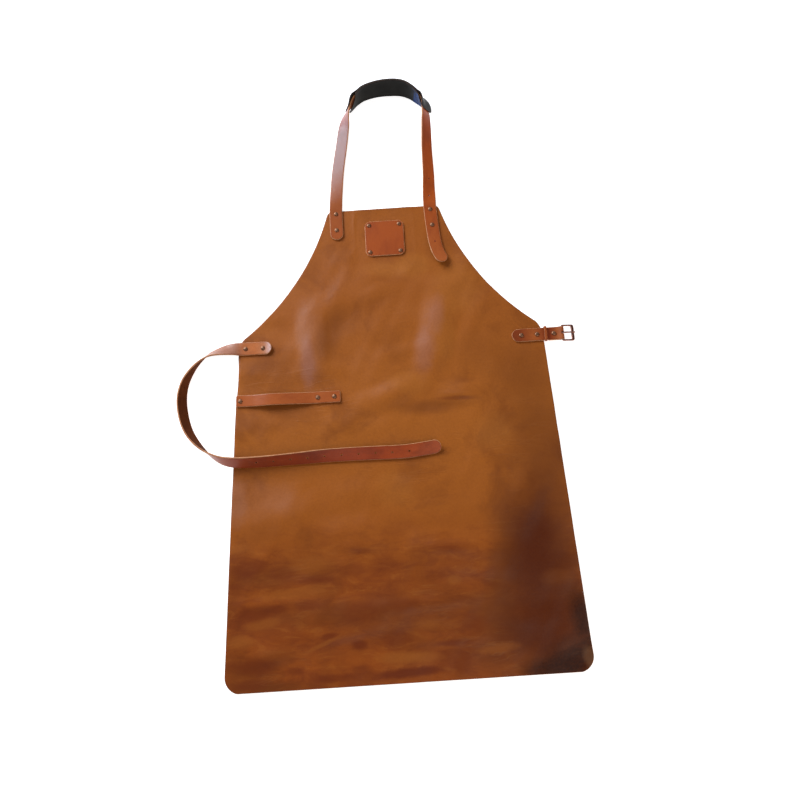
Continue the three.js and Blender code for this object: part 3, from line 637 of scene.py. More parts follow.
class Route:
    # rows: x and y of the middle, lean in degrees (90 stands on its outer edge), height of the lowest edge
    def __init__(self, rows, width, leather, side, floor):
        table = np.array(rows, float)
        first = 2 * table[0] - table[1]
        last = 2 * table[-1] - table[-2]
        self.knots = np.concatenate([[first], table, [last]])
        self.spans = len(table) - 1
        self.width, self.leather, self.side, self.floor = width, leather, side, floor
        samplesPerSpan = 400
        self.steps = np.linspace(0, self.spans, samplesPerSpan * self.spans + 1)
        plan = self.curve(self.steps)[0][:, :2]
        stretches = np.linalg.norm(np.diff(plan, axis=0), axis=1)
        self.lengths = np.concatenate([[0.0], np.cumsum(stretches)])
        self.length = self.lengths[-1]

    def curve(self, step):
        # a smooth curve through the rows, and its slope
        span = np.clip(np.floor(step).astype(int), 0, self.spans - 1)
        f = (step - span)[:, None]
        a, b, c, d = (self.knots[span + k] for k in range(4))
        square = 2 * a - 5 * b + 4 * c - d
        cube = 3 * b - a - 3 * c + d
        point = 0.5 * (2 * b + (c - a) * f + square * f**2 + cube * f**3)
        slope = 0.5 * (c - a + 2 * square * f + 3 * cube * f**2)
        return point, slope

    def at(self, distance):
        step = np.interp(distance, self.lengths, self.steps)
        point, slope = self.curve(step)
        heading = slope[:, :2] / np.linalg.norm(slope[:, :2], axis=1)[:, None]
        inward = self.side * np.column_stack([-heading[:, 1], heading[:, 0], np.zeros(len(heading))])
        up = np.array([0.0, 0.0, 1.0])
        lean = np.radians(point[:, 2])[:, None]
        across = np.cos(lean) * inward + np.sin(lean) * up
        grain = np.cos(lean) * up - np.sin(lean) * inward
        rise = (self.width * np.abs(np.sin(lean)) + self.leather * np.abs(np.cos(lean)))[:, 0] / 2
        centre = np.column_stack([point[:, :2], np.maximum(point[:, 3], self.floor) + rise])
        return centre, across, grain

    def place(self, across, along, height):
        centre, sideways, grain = self.at(along)
        return centre + sideways * across[:, None] + grain * height[:, None]


def stripRows(length, width, startCorner, endCorner, step, edgeRound):
    # rows of a strip with rounded ends, drawn in by the rounding of its edge
    half = width / 2 - edgeRound
    rows = []
    turns = np.radians(np.linspace(6, 90, 12))
    for corner, flip in ((startCorner - edgeRound, False), (endCorner - edgeRound, True)):
        ahead = corner * (1 - np.cos(turns))
        halves = half - corner * (1 - np.sin(turns))
        rows.append((ahead, halves) if not flip else (length - 2 * edgeRound - ahead[::-1], halves[::-1]))
    firstAlong, lastAlong = rows[0][0][-1], rows[1][0][0]
    middle = np.linspace(firstAlong, lastAlong, max(2, int((lastAlong - firstAlong) / step)))[1:-1]
    along = np.concatenate([rows[0][0], middle, rows[1][0]]) + edgeRound
    halves = np.concatenate([rows[0][1], np.full(len(middle), half), rows[1][1]])
    return np.column_stack([along, -halves, halves])


# Apron panel

panelTop = panelCut["leather"]
pieceGap = 0.3
strapBase = panelTop + pieceGap

# ridges: x, y, heading of the crest, length, width, rise, bow
panelFolds = [
    (-138, 172, 91, 190, 70, 4.3, 0),
    (-98, 236, 50, 150, 84, 3.0, 0.001),
    (85, 168, 77, 260, 80, 5.3, 0.0003),
    (-8, 59, 17, 170, 62, 4.5, 0.0004),
    (126, 57, -4, 110, 56, 3.6, 0),
    (-190, -150, 40, 180, 130, 4.5, 0),
    (-100, -176, 4, 280, 76, 3, 0.0004),
    (96, -218, -9, 320, 84, 5, -0.0004),
    (-90, -312, 3, 340, 84, 4, 0.0003),
    (210, -140, 62, 210, 90, 3, 0.0006),
    (258, -372, 25, 130, 60, 0.8, 0),
]
# the tip of the corner at the right of the hem turns up
cornerCurl = {
    "at": (284, -400), "outward": (0.94, -0.34), "reach": 10, "rise": 1.3, "most": 2, "fade": (5, 45),
}
panelCreases = [
    (-54, 402, 93, 80, 18, 2.2, 0),
    (-236, 112, 86, 60, 56, 0.8, 0),
    (118, 52, -8, 92, 15, 1.8, 0.0008),
    (82, 37, -6, 70, 18, -1.6, 0),
    (69, -132, 4, 64, 10, 0.9, 0),
    (161, -88, 15, 46, 9, 0.9, 0.002),
    (-70, -200, 3, 170, 30, 1.5, 0.0008),
    (70, -209, -4, 160, 30, 1.5, -0.0006),
    (-230, -285, 2, 150, 34, 1.7, 0.0008),
    (-105, -345, 8, 130, 28, 1.6, 0.0006),
    (60, -358, -2, 170, 28, 1.6, -0.0004),
    (-225, -370, 6, 130, 36, 1.4, 0),
    (110, -252, -6, 210, 40, 1.8, 0.0004),
    (-170, -258, 0, 210, 42, 1.4, -0.0003),
    (30, -300, 3, 270, 36, 1.7, 0.0003),
    (172, -330, -12, 170, 42, 1.0, 0.0008),
    (-20, 255, 20, 120, 40, 1.2, 0.001),
    (150, 190, 60, 150, 46, 1.4, 0.0006),
    (20, 140, 8, 120, 36, 1.2, 0.0004),
]
hideWaves = [  # length, heading, shift, rise
    (150, 12, 0.4, 0.5), (97, 101, 1.9, 0.35), (61, 63, 3.1, 0.22), (43, -28, 5.2, 0.16),
]
waveSway, waveDrift = 1.3, 0.37
panelDents = [  # side, middle, length, depth of a stretch where the edge draws in
    (-1, 112, 120, 2.6),
]
heldMargin = 34
heldFlat = [  # left, right, low, high of the places under straps and label
    (-110, -60, 350, 423), (66, 122, 290, 423), (-45, 51, 318, 405),
    (-280, -198, 142, 184), (-280, -82, 46, 86), (205, 285, 136, 174), (-300, 96, -72, -18),
]


def ridgeHeight(x, y, ridges):
    height = np.zeros(len(x))
    for middleX, middleY, heading, length, width, rise, bow in ridges:
        turn = math.radians(heading)
        along = (x - middleX) * math.cos(turn) + (y - middleY) * math.sin(turn)
        sideways = (y - middleY) * math.cos(turn) - (x - middleX) * math.sin(turn)
        u = np.minimum(1, np.abs(along) / (length / 2))
        v = np.minimum(1, np.abs(sideways - bow * along * along) / (width / 2))
        height += rise * (1 - u**2) ** 2 * (1 - v**2) ** 2
    return height


def softWaves(x, y):
    # slow unevenness of a hide that has been folded and laid out again
    waves = np.zeros(len(x))
    for length, heading, shift, rise in hideWaves:
        turn = math.radians(heading)
        phase = 2 * math.pi * (x * math.cos(turn) + y * math.sin(turn)) / length
        waves += rise * (1 + np.sin(phase + shift + waveSway * np.sin(phase * waveDrift + shift)))
    return waves


def freedom(x, y):
    # 0 where something is riveted on or lies on the panel, 1 away from it
    free = np.ones(len(x))
    for left, right, low, high in heldFlat:
        outX = np.maximum(np.maximum(left - x, x - right), 0)
        outY = np.maximum(np.maximum(low - y, y - high), 0)
        free = np.minimum(free, smoothStep(np.hypot(outX, outY) / heldMargin))
    return free


def panelHeight(x, y):
    tipX, tipY = cornerCurl["at"]
    outX, outY = cornerCurl["outward"]
    beyond = (x - tipX) * outX + (y - tipY) * outY
    near, far = cornerCurl["fade"]
    nearHem = smoothStep((tipY + far - y) / (far - near))
    curl = cornerCurl["rise"] * nearHem * np.clip(beyond / cornerCurl["reach"], 0, cornerCurl["most"]) ** 2
    fine = ridgeHeight(x, y, panelCreases) + softWaves(x, y) + curl
    return np.maximum(ridgeHeight(x, y, panelFolds) + freedom(x, y) * fine, 0)


def placePanel(across, along, height):
    lift = panelHeight(across, along) + panelTop / 2
    return np.column_stack([across, along, lift + height])


def bend(start, control, end, count):
    share = np.linspace(0, 1, count + 1)[1:, None]
    start, control, end = (np.array(point, float) for point in (start, control, end))
    return (1 - share) ** 2 * start + 2 * share * (1 - share) * control + share**2 * end


def panelRows():
    cut = panelCut
    bottom, top = -cut["length"] / 2, cut["length"] / 2
    turns = np.radians(np.linspace(-90, 0, cut["hemSteps"]))
    hemTurn = cut["hemHalf"] - cut["hemCorner"]
    corner = np.column_stack([hemTurn + cut["hemCorner"] * np.cos(turns),
                              bottom + cut["hemCorner"] * (1 + np.sin(turns))])
    waist = (cut["waistHalf"], cut["waistY"])
    sideCount = int((waist[1] - corner[-1, 1]) / cut["rowStep"])
    side = np.linspace(corner[-1], waist, sideCount + 1)[1:]
    shoulder = (cut["topHalf"] + cut["topFlare"], top - cut["topCorner"])
    topTurn = (cut["topHalf"] - cut["topCorner"], top)
    half = np.concatenate([
        corner, side,
        bend(waist, cut["waistBend"], cut["armholeFoot"], cut["footSteps"]),
        bend(cut["armholeFoot"], cut["armholeBend"], shoulder, cut["armholeSteps"]),
        bend(shoulder, (cut["topHalf"], top), topTurn, cut["topSteps"]),
    ])
    y = half[:, 1]
    drift = cut["hemDrift"] + (cut["topDrift"] - cut["hemDrift"]) * (y / cut["length"] + 0.5)
    reach = {-1: half[:, 0].copy(), 1: half[:, 0].copy()}
    for which, middle, length, depth in panelDents:
        share = np.minimum(1, np.abs(y - middle) / (length / 2))
        reach[which] -= depth * (1 - share**2) ** 2
    inset = cut["round"]
    along = np.clip(y, bottom + inset, top - inset)
    return np.column_stack([along, drift - reach[-1] + inset, drift + reach[1] - inset])


rows = panelRows()
panelMesh = leatherSheet("apronPanel", rows, panelCut["columns"], panelCut["leather"], placePanel,
                         panelCut["round"], panelCut["topShare"])
panelLooks = [panelLeather, panelEdge, panelFlesh]
apronPanel = addPiece("apronPanel", panelMesh, panelLooks, "apron_panel")


# Rivets

rivetShape = {
    "cap": 4.0, "dome": 2.1, "flange": 0.45, "shank": 1.6, "back": 0.7, "backRise": 0.1, "sides": 40,
    "lip": 0.2, "bevel": 0.25, "taper": 0.1, "sunk": 0.1, "domeInset": 0.12, "dent": 0.4, "dentRadius": 5.2,
}
strapThickness = 3.0
tabThickness = 2.5
labelThickness = 2.5
labelCut = {
    "x": 3, "y": 361.5, "width": 72, "height": 70, "corner": 11, "rivetInset": 8, "round": 0.9, "crown": 0.25,
    "topShare": 0.45, "columns": 44, "step": 1.6,
}
tabY = 154.8

rivetPlaces = [  # node, x, y, leather under the cap, piece that it holds
    ("rivet_neck_left_upper", -85, 416, strapThickness, "neck"),
    ("rivet_neck_left_lower", -85, 383, strapThickness, "neck"),
    ("rivet_neck_right_upper", 91, 414, strapThickness, "neck"),
    ("rivet_neck_right_lower", 92.5, 382, strapThickness, "neck"),
    ("rivet_waist_inner", -227, 162.1, strapThickness, "waist"),
    ("rivet_waist_outer", -258, 162.5, strapThickness, "waist"),
    ("rivet_towel_edge", -269, 66, strapThickness, "towel"),
    ("rivet_towel_outer", -132, 64, strapThickness, "towel"),
    ("rivet_towel_inner", -103, 64, strapThickness, "towel"),
    ("rivet_tab_inner", 236, tabY, tabThickness, "tab"),
    ("rivet_tab_middle", 264, tabY, tabThickness, "tab"),
    ("rivet_tab_outer", 294, tabY, tabThickness, "tab"),
]
for rowName, up in (("lower", -1), ("upper", 1)):
    for columnName, right in (("left", -1), ("right", 1)):
        rivetPlaces.append((
            f"rivet_label_{rowName}_{columnName}",
            labelCut["x"] + right * (labelCut["width"] / 2 - labelCut["rivetInset"]),
            labelCut["y"] + up * (labelCut["height"] / 2 - labelCut["rivetInset"]),
            labelThickness, "label",
        ))


def rivetProfile(seat):
    # radius and height from the back plate up the shank to the domed cap
    shape = rivetShape
    cap, shank, lip = shape["cap"], shape["shank"], shape["lip"]
    low = shape["backRise"]
    high = low + shape["back"]
    profile = [(0, low), (cap - lip, low), (cap, low + shape["bevel"]), (cap - shape["taper"], high)]
    profile += [(shank, high), (shank, seat - lip), (cap - shape["bevel"], seat - lip)]
    profile += [(cap, seat), (cap, seat + lip)]
    domeFoot = seat + shape["flange"] - shape["sunk"]
    for degrees in range(8, 90, 9):
        turn = math.radians(degrees)
        rise = (shape["dome"] - shape["flange"]) * math.sin(turn)
        profile.append(((cap - shape["domeInset"]) * math.cos(turn), domeFoot + rise))
    profile.append((0, seat + shape["dome"] - shape["sunk"]))
    return profile


for node, x, y, leather, _ in rivetPlaces:
    cap = lathe(node, rivetProfile(strapBase + leather), rivetShape["sides"])
    cap.transform(Matrix.Translation((x * mm, y * mm, 0)))
    addPiece(node.replace("rivet", "brassRivet"), cap, [rivetMetal], node)
print("rivets:", len(rivetPlaces))


def rivetDents(piece, toFlat):
    # the leather is drawn in a little round each rivet
    spots = [toFlat(x, y) for _, x, y, _, holds in rivetPlaces if holds == piece]

    def press(across, along):
        dent = np.zeros(len(across))
        for spotAcross, spotAlong in spots:
            reach = np.hypot(across - spotAcross, along - spotAlong) / rivetShape["dentRadius"]
            dent += rivetShape["dent"] * np.exp(-(reach**2))
        return dent

    return press


# Straps

strapCut = {
    "width": 24.0, "leather": strapThickness, "round": 0.8, "topShare": 0.4, "columns": 14, "step": 2.6,
}
padCut = {
    "width": 40.0, "leather": 2.0, "round": 0.7, "columns": 20, "step": 2.2, "gap": 0.5,
    "inner": (291.0, 444.0), "innerCorner": 3.0, "outer": (266.0, 463.0), "outerCorner": 9.0,
    "sewn": (286.0, 436.0), "sewnBlend": 18.0, "seam": -1.4, "seamGap": 0.1, "margin": 5.0, "edgeRoom": 0.6,
    "slant": 20.0, "slantFrom": 14.0, "slantDrop": 34.0, "slantReach": 50.0,
    "bulge": 8.0, "bulgeFrom": (415.0, 437.0), "bulgeTo": (442.0, 462.0), "bulgeTop": 8.0, "bulgeDrop": 24.0,
}
towelCut = {"width": 21.0, "corner": 3.0, "bow": 7.0}
padLift = (padCut["width"] - strapCut["width"]) / 2 + pieceGap

waistRows = [  # x, y, lean, lift, from the riveted end to the free tip
    (-211, 162, 0, strapBase + 3), (-222, 162, 0, strapBase + 0.4), (-236, 162.2, 0, strapBase),
    (-258, 162.5, 0, strapBase), (-267, 162.7, 0.5, strapBase),
    (-282, 162.3, 17, strapBase), (-306, 158.5, 45, 0.4), (-327, 150.5, 66, 0), (-350, 129, 89, 0),
    (-366, 99, 109, 0), (-370, 64, 122, 0), (-361, 22, 120, 0), (-341, -10, 107, 0), (-313, -33.5, 80, 1),
    (-284, -44, 58, strapBase), (-240, -46, 50, strapBase), (-183, -44.5, 44, strapBase),
    (-120, -42, 30, strapBase), (-54, -42, 20, strapBase), (10, -43, 15, strapBase), (50, -40, 18, strapBase),
    (78, -36.5, 20, strapBase),
]
waistHoles = [158 + 29 * k for k in range(2)] + [411 + 29.3 * k for k in range(10)]

neckRows = [  # x, y, lean, lift, from the riveted left end to the tail on the right
    (-85, 364, 0, strapBase), (-85, 383, 0, strapBase), (-85, 416, 0, strapBase),
    (-84.3, 432, 0.5, strapBase), (-82.5, 455, 8, 0.8), (-77, 505, 15, 0), (-67.5, 560, 21, 0.6),
    (-61.5, 594, 31, 3.5), (-55.5, 617, 60, 7), (-45.5, 636.5, 84, padLift), (-36.5, 649.5, 91, padLift),
    (-22, 661.5, 97, padLift), (3, 669, 101, padLift), (28, 671, 104, padLift), (52, 668.5, 102, padLift),
    (70, 659.5, 96, padLift), (82, 647, 90, padLift), (91.5, 632, 79, padLift + 0.8),
    (96, 612.5, 57, padLift + 0.8), (95.5, 585, 44, 4.5), (93.5, 540, 35, 0.8), (93, 490, 27, 0),
    (91.5, 456, 16, 0.8), (91, 432, 0.5, strapBase), (91, 414, 0, strapBase),
    (92.5, 382, 0, strapBase), (93.3, 370, 0.5, strapBase), (94.7, 350, 8, strapBase + 0.5),
    (99.5, 326, 13, strapBase + 1.6), (109, 304.5, 17, strapBase + 3),
]
neckHoles = [599.5, 634, 729]

towelRows = [  # x, y, lean, lift, bowed up between its rivets
    (-276.5, 66.5, 0, strapBase), (-263, 66, 0, strapBase),
    (-246, 65.4, 0, strapBase + 0.25 * towelCut["bow"]), (-212, 64.5, 0, strapBase + towelCut["bow"]),
    (-166, 64, 0, strapBase + 0.5 * towelCut["bow"]), (-140, 64, 0, strapBase),
    (-118, 64, 0, strapBase), (-92, 63.7, 0, strapBase),
]
towardLeft, towardRight = 1, -1
waistRoute = Route(waistRows, strapCut["width"], strapCut["leather"], towardLeft, 0)
neckRoute = Route(neckRows, strapCut["width"], strapCut["leather"], towardRight, 0)
towelRoute = Route(towelRows, towelCut["width"], strapCut["leather"], towardLeft, strapBase)


def alongRoute(route):
    # finds where on the flat strap a point of the apron lies
    samples = np.linspace(0, route.length, 2000)
    centre, across, _ = route.at(samples)

    def toFlat(x, y):
        nearest = int(np.argmin(np.hypot(centre[:, 0] - x, centre[:, 1] - y)))
        offset = np.array([x, y, 0]) - centre[nearest] * [1, 1, 0]
        return float(offset @ across[nearest]), float(samples[nearest])

    return toFlat


def makeStrap(name, node, route, corner, holes, punchRadius, holds, look):
    rows = stripRows(route.length, route.width, corner, corner, strapCut["step"], strapCut["round"])
    press = rivetDents(holds, alongRoute(route))
    mesh = leatherSheet(name, rows, strapCut["columns"], strapCut["leather"], route.place,
                        strapCut["round"], strapCut["topShare"], press)
    piece = addPiece(name, mesh, [look, strapEdge, strapFlesh], node)
    if holes:
        centre, _, grain = route.at(np.array(holes, float))
        reach = strapCut["leather"]
        punch(piece, [rod(c - g * reach, c + g * reach, punchRadius) for c, g in zip(centre, grain)])
    print(name, "of", round(route.length), "mm with", len(holes), "holes")


roundEnd = strapCut["width"] / 2
makeStrap("neckStrap", "neck_strap", neckRoute, roundEnd, neckHoles, 1.0, "neck", neckLeather)
makeStrap("waistStrap", "waist_strap", waistRoute, roundEnd, waistHoles, 1.5, "waist", waistLeather)
makeStrap("towelStrap", "towel_strap", towelRoute, towelCut["corner"], [], 0, "towel", strapLeather)


# Neck pad, a sleeve of two layers round the neck strap, sewn together beyond its edges

def spanShare(value, span):
    return smoothStep((value - span[0]) / (span[1] - span[0]))


def placePad(layer, start):
    # layer is -1 on the inside of the neck loop and 1 on the outside
    # the black grain faces away from the strap
    flat = layer * (strapCut["leather"] / 2 + padCut["gap"] + padCut["leather"] / 2)
    seam = padCut["seam"] + min(layer, 0) * (padCut["leather"] + padCut["seamGap"])
    first, last = padCut["sewn"]
    blend = padCut["sewnBlend"]

    def place(across, along, height):
        distance = along + start
        if layer < 0:
            low = smoothStep((padCut["slantFrom"] - across) / padCut["slantDrop"])
            distance = distance - padCut["slant"] * low * (1 - smoothStep(along / padCut["slantReach"]))
        centre, sideways, grain = neckRoute.at(distance)
        beyond = np.abs(across) - strapCut["width"] / 2 - padCut["edgeRoom"]
        closed = spanShare(distance, (first, first + blend))
        closed = closed * (1 - spanShare(distance, (last - blend, last)))
        offset = flat + (seam - flat) * closed * smoothStep(beyond / padCut["margin"])
        if layer > 0:
            low = smoothStep((padCut["bulgeTop"] - across) / padCut["bulgeDrop"])
            bulge = spanShare(distance, padCut["bulgeFrom"]) * (1 - spanShare(distance, padCut["bulgeTo"]))
            offset = offset + padCut["bulge"] * low * bulge
        return centre + sideways * across[:, None] + grain * (offset + layer * height)[:, None]

    return place


padLayers = bmesh.new()
for layer, which in ((-1, "inner"), (1, "outer")):
    start, end = padCut[which]
    corner = padCut[which + "Corner"]
    padRows = stripRows(end - start, padCut["width"], corner, corner, padCut["step"], padCut["round"])
    placeLayer = placePad(layer, start)
    layerMesh = leatherSheet("padLayer", padRows, padCut["columns"], padCut["leather"], placeLayer,
                             padCut["round"], strapCut["topShare"])
    padLayers.from_mesh(layerMesh)
    bpy.data.meshes.remove(layerMesh)
padMesh = bpy.data.meshes.new("neckPad")
padLayers.to_mesh(padMesh)
padLayers.free()
addPiece("neckPad", padMesh, [padLeather, padEdge, padLeather], "neck_pad")


# Label patch, left plain

def placeLabel(across, along, height):
    dome = np.cos(across / labelCut["width"] * math.pi) * np.cos(along / labelCut["height"] * math.pi)
    lift = strapBase + labelThickness / 2 + labelCut["crown"] * dome * (height > 0)
    return np.column_stack([across + labelCut["x"], along + labelCut["y"], lift + height])


labelStrip = stripRows(labelCut["height"], labelCut["width"], labelCut["corner"], labelCut["corner"],
                       labelCut["step"], labelCut["round"])
labelStrip[:, 0] -= labelCut["height"] / 2
labelDents = rivetDents("label", lambda x, y: (x - labelCut["x"], y - labelCut["y"]))
labelMesh = leatherSheet("labelPatch", labelStrip, labelCut["columns"], labelThickness, placeLabel,
                         labelCut["round"], labelCut["topShare"], labelDents)
addPiece("labelPatch", labelMesh, [patchLeather, strapEdge, strapFlesh], "label_patch")
print("pad and label ready")


# Buckle tab, folded round the heel bar of the buckle

buckleShape = {
    "barX": 309.0, "barZ": 3.9, "barWidth": 3.0, "toeWidth": 5.5, "length": 23.5, "insideWidth": 24.6,
    "thickness": 3.0, "outerCorner": 4.0, "innerCorner": 1.4, "perCorner": 9, "perSide": 8,
    "squareAcross": 0.7, "squareUp": 0.8,
}
sectionTurns = [math.radians(degrees) for degrees in range(0, 360, 20)]
tabCut = {
    "start": 219.0, "width": 24.0, "spread": 297.0, "underStart": 283.5, "foldLeather": 1.6, "round": 0.7,
    "columns": 16, "step": 1.3, "endCorner": 1.0, "barRoom": 0.55, "foldFrom": 112, "foldTo": -90,
    "riseStart": (11.0, 0.0), "riseEnd": (10.0, 4.0), "skiveFrom": 286, "skiveOver": 14,
    "slot": 4.0, "slotBack": 3.7, "slotLength": 20, "slotHeight": 24, "slotMiddle": 4,
}
foldRadius = buckleShape["barWidth"] / 2 + tabCut["barRoom"] + tabCut["foldLeather"] / 2


def tabPath():
    # the middle of the leather, from the tip over the bar and back underneath
    level = strapBase + tabThickness / 2
    barX, barZ = buckleShape["barX"], buckleShape["barZ"]
    topRun = [(x, level) for x in np.linspace(tabCut["start"], tabCut["spread"], 60)]
    turns = np.radians(np.linspace(tabCut["foldFrom"], tabCut["foldTo"], 40))
    turn = [(barX + foldRadius * math.cos(a), barZ + foldRadius * math.sin(a)) for a in turns]
    start, end = np.array(topRun[-1]), np.array(turn[0])
    slopeStart, slopeEnd = np.array(tabCut["riseStart"]), np.array(tabCut["riseEnd"])
    rise = []
    for f in np.linspace(0, 1, 14)[1:-1]:
        rise.append((2 * f**3 - 3 * f**2 + 1) * start + (f**3 - 2 * f**2 + f) * slopeStart
                    + (3 * f**2 - 2 * f**3) * end + (f**3 - f**2) * slopeEnd)
    under = [(x, barZ - foldRadius) for x in np.linspace(barX, tabCut["underStart"], 24)[1:]]
    return np.array([*topRun, *rise, *turn, *under])


tabLine = tabPath()
tabLengths = np.concatenate([[0], np.cumsum(np.linalg.norm(np.diff(tabLine, axis=0), axis=1))])
tabHeadings = np.gradient(tabLine, tabLengths, axis=0)
tabHeadings /= np.linalg.norm(tabHeadings, axis=1)[:, None]
skived = 1 - smoothStep((tabLine[:, 0] - tabCut["skiveFrom"]) / tabCut["skiveOver"])
skived[tabLengths > tabLengths[np.argmax(tabLine[:, 0])]] = 0
thinning = tabCut["foldLeather"] / tabThickness + (1 - tabCut["foldLeather"] / tabThickness) * skived


def placeTab(across, along, height):
    x, z = (np.interp(along, tabLengths, tabLine[:, k]) for k in range(2))
    headX, headZ = (np.interp(along, tabLengths, tabHeadings[:, k]) for k in range(2))
    thick = height * np.interp(along, tabLengths, thinning)
    return np.column_stack([x - headZ * thick, tabY + across, z + headX * thick])


tabRows = stripRows(tabLengths[-1], tabCut["width"], tabCut["width"] / 2, tabCut["endCorner"], tabCut["step"],
                    tabCut["round"])
tabDents = rivetDents("tab", lambda x, y: (y - tabY, x - tabCut["start"]))
tabMesh = leatherSheet("buckleTab", tabRows, tabCut["columns"], tabThickness, placeTab, tabCut["round"],
                       strapCut["topShare"], tabDents)
tabLooks = [tabLeather, strapEdge, strapFlesh]
buckleTab = addPiece("buckleTab", tabMesh, tabLooks, "buckle_tab")
slotStart = buckleShape["barX"] - tabCut["slotBack"] + tabCut["slot"] / 2
slotPlace = Vector((slotStart + tabCut["slotLength"] / 2, tabY, tabCut["slotMiddle"])) * mm
slotSize = Vector((tabCut["slotLength"], tabCut["slot"], tabCut["slotHeight"])) * mm
slotCutter = bmesh.new()
slotMatrix = Matrix.Translation(slotPlace) @ Matrix.Diagonal((*slotSize, 1))
bmesh.ops.create_cube(slotCutter, size=1.0, matrix=slotMatrix)
slotBox = bpy.data.meshes.new("slot")
slotCutter.to_mesh(slotBox)
slotCutter.free()
punch(buckleTab, [slotBox])


# Keeper, a narrow loop round the tab

keeperCut = {
    "x": 276.8, "width": 4.4, "wall": 1.4, "room": 3.4, "corner": 2.6, "round": 0.45,
    "perCorner": 9, "perEdge": 4, "spacing": 3.0, "edgeFacing": 0.6,
}


def keeperRing(cut):
    # the middle line of the band in y and z, and its outward directions
    side = tabCut["width"] / 2 + pieceGap + cut["wall"] / 2
    low = panelTop - cut["wall"] / 2
    high = strapBase + tabThickness + cut["room"] + cut["wall"] / 2
    corner = cut["corner"] - cut["wall"] / 2
    points = cornerLoop(-side, side, (high - low) / 2, corner, cut["perCorner"]) + [0, (high + low) / 2]
    quarters = [np.linspace(start, start + 90, cut["perCorner"]) for start in (0, 90, 180, 270)]
    turns = np.radians(np.concatenate(quarters))
    return points, np.column_stack([np.cos(turns), np.sin(turns)])


ringPoints, ringOuts = keeperRing(keeperCut)
halfBand = keeperCut["width"] / 2
bandSection = cornerLoop(-halfBand, halfBand, keeperCut["wall"] / 2, keeperCut["round"], keeperCut["perEdge"])
keeperStations = []
keeperCuts = []
for k, (point, out) in enumerate(zip(ringPoints, ringOuts)):
    yz = point[None, :] + bandSection[:, 1:] * out[None, :]
    bandX = keeperCut["x"] + halfBand + bandSection[:, 0]
    keeperStations.append(np.column_stack([bandX, tabY + yz[:, 0], yz[:, 1]]))
    along = np.full(len(bandSection), keeperCut["spacing"] * k)
    keeperCuts.append(np.column_stack([bandSection[:, 0], along, bandSection[:, 1]]))
keeperMesh = sweep("strapKeeper", keeperStations, True)
cutSpots = np.concatenate(keeperCuts)
storeOnPoints(keeperMesh, "cut", "FLOAT_VECTOR", "vector", cutSpots)
storeOnPoints(keeperMesh, "rim", "FLOAT", "value", halfBand - np.abs(cutSpots[:, 0]))
addPiece("strapKeeper", keeperMesh, [strapLeather, strapEdge], "strap_keeper")
for polygon in keeperMesh.polygons:
    polygon.material_index = 1 if abs(polygon.normal.x) > keeperCut["edgeFacing"] else 0
print("tab and keeper ready")


# Buckle, drawn about its heel bar and let down onto the surface

buckleDrop = (buckleShape["barZ"] - buckleShape["thickness"] / 2 - rivetShape["backRise"])
buckleDrop /= buckleShape["length"] - buckleShape["barWidth"] / 2
buckleTurn = Matrix.Translation((buckleShape["barX"] * mm, tabY * mm, buckleShape["barZ"] * mm))
buckleTurn = buckleTurn @ Matrix.Rotation(math.asin(buckleDrop), 4, "Y")


def buckleRing():
    shape = buckleShape
    left = -shape["barWidth"] / 2
    right = left + shape["length"]
    inside = shape["insideWidth"] / 2
    counts = shape["perCorner"], shape["perSide"]
    outer = cornerLoop(left, right, inside + shape["barWidth"], shape["outerCorner"], *counts)
    innerLeft, innerRight = left + shape["barWidth"], right - shape["toeWidth"]
    inner = cornerLoop(innerLeft, innerRight, inside, shape["innerCorner"], *counts)
    stations = []
    for outside, within in zip(outer, inner):
        middle, half = (outside + within) / 2, (outside - within) / 2
        ring = []
        for turn in sectionTurns:
            reach = softTurn(math.cos(turn), shape["squareAcross"])
            rise = softTurn(math.sin(turn), shape["squareUp"])
            ring.append((*(middle + half * reach), shape["thickness"] / 2 * rise))
        stations.append(np.array(ring))
    return stations


frameMesh = sweep("buckleFrame", buckleRing(), True)
frameMesh.transform(buckleTurn)
addPiece("buckleFrame", frameMesh, [buckleMetal], "buckle_frame", "buckle_frame")

prongShape = {
    "curl": 2.475, "curlFrom": -40, "curlTo": -270, "eyeHalf": 0.5, "width": 2.6, "thick": 2.1, "tip": 1.2,
    "clear": 0.25, "square": 0.85, "narrowest": 0.45,
}


def prongStations():
    # a pin curled round the heel bar, lying on the toe bar
    toe = buckleShape["length"] - buckleShape["barWidth"] / 2
    curl = prongShape["curl"]
    turns = np.radians(np.linspace(prongShape["curlFrom"], prongShape["curlTo"], 36))
    line = [(curl * math.cos(a), curl * math.sin(a)) for a in turns]
    halves = [prongShape["eyeHalf"]] * len(line)
    restZ = buckleShape["thickness"] / 2 + prongShape["clear"] + prongShape["thick"] / 2
    tip = toe + prongShape["tip"]
    pin = [  # distance from the bar, height, half thickness
        (3.0, 2.35, 0.66), (7.0, 2.3, 0.95), (12.0, 2.45, 1.05), (toe - 5, restZ, 1.05),
        (toe - 2, restZ, 1.0), (toe, restZ - 0.1, 0.8), (tip - 0.3, restZ - 0.25, 0.55),
        (tip, restZ - 0.3, 0.25),
    ]
    line += [(x, z) for x, z, _ in pin]
    halves += [half for _, _, half in pin]
    line = np.array(line)
    headings = np.gradient(line, axis=0)
    headings /= np.linalg.norm(headings, axis=1)[:, None]
    stations = []
    for (x, z), (headX, headZ), half in zip(line, headings, halves):
        widest = prongShape["width"] / 2 * min(1.0, prongShape["narrowest"] + half)
        ring = []
        for turn in sectionTurns:
            offset = half * softTurn(math.sin(turn), prongShape["square"])
            sideways = widest * softTurn(math.cos(turn), prongShape["square"])
            ring.append((x - headZ * offset, sideways, z + headX * offset))
        stations.append(np.array(ring))
    return stations


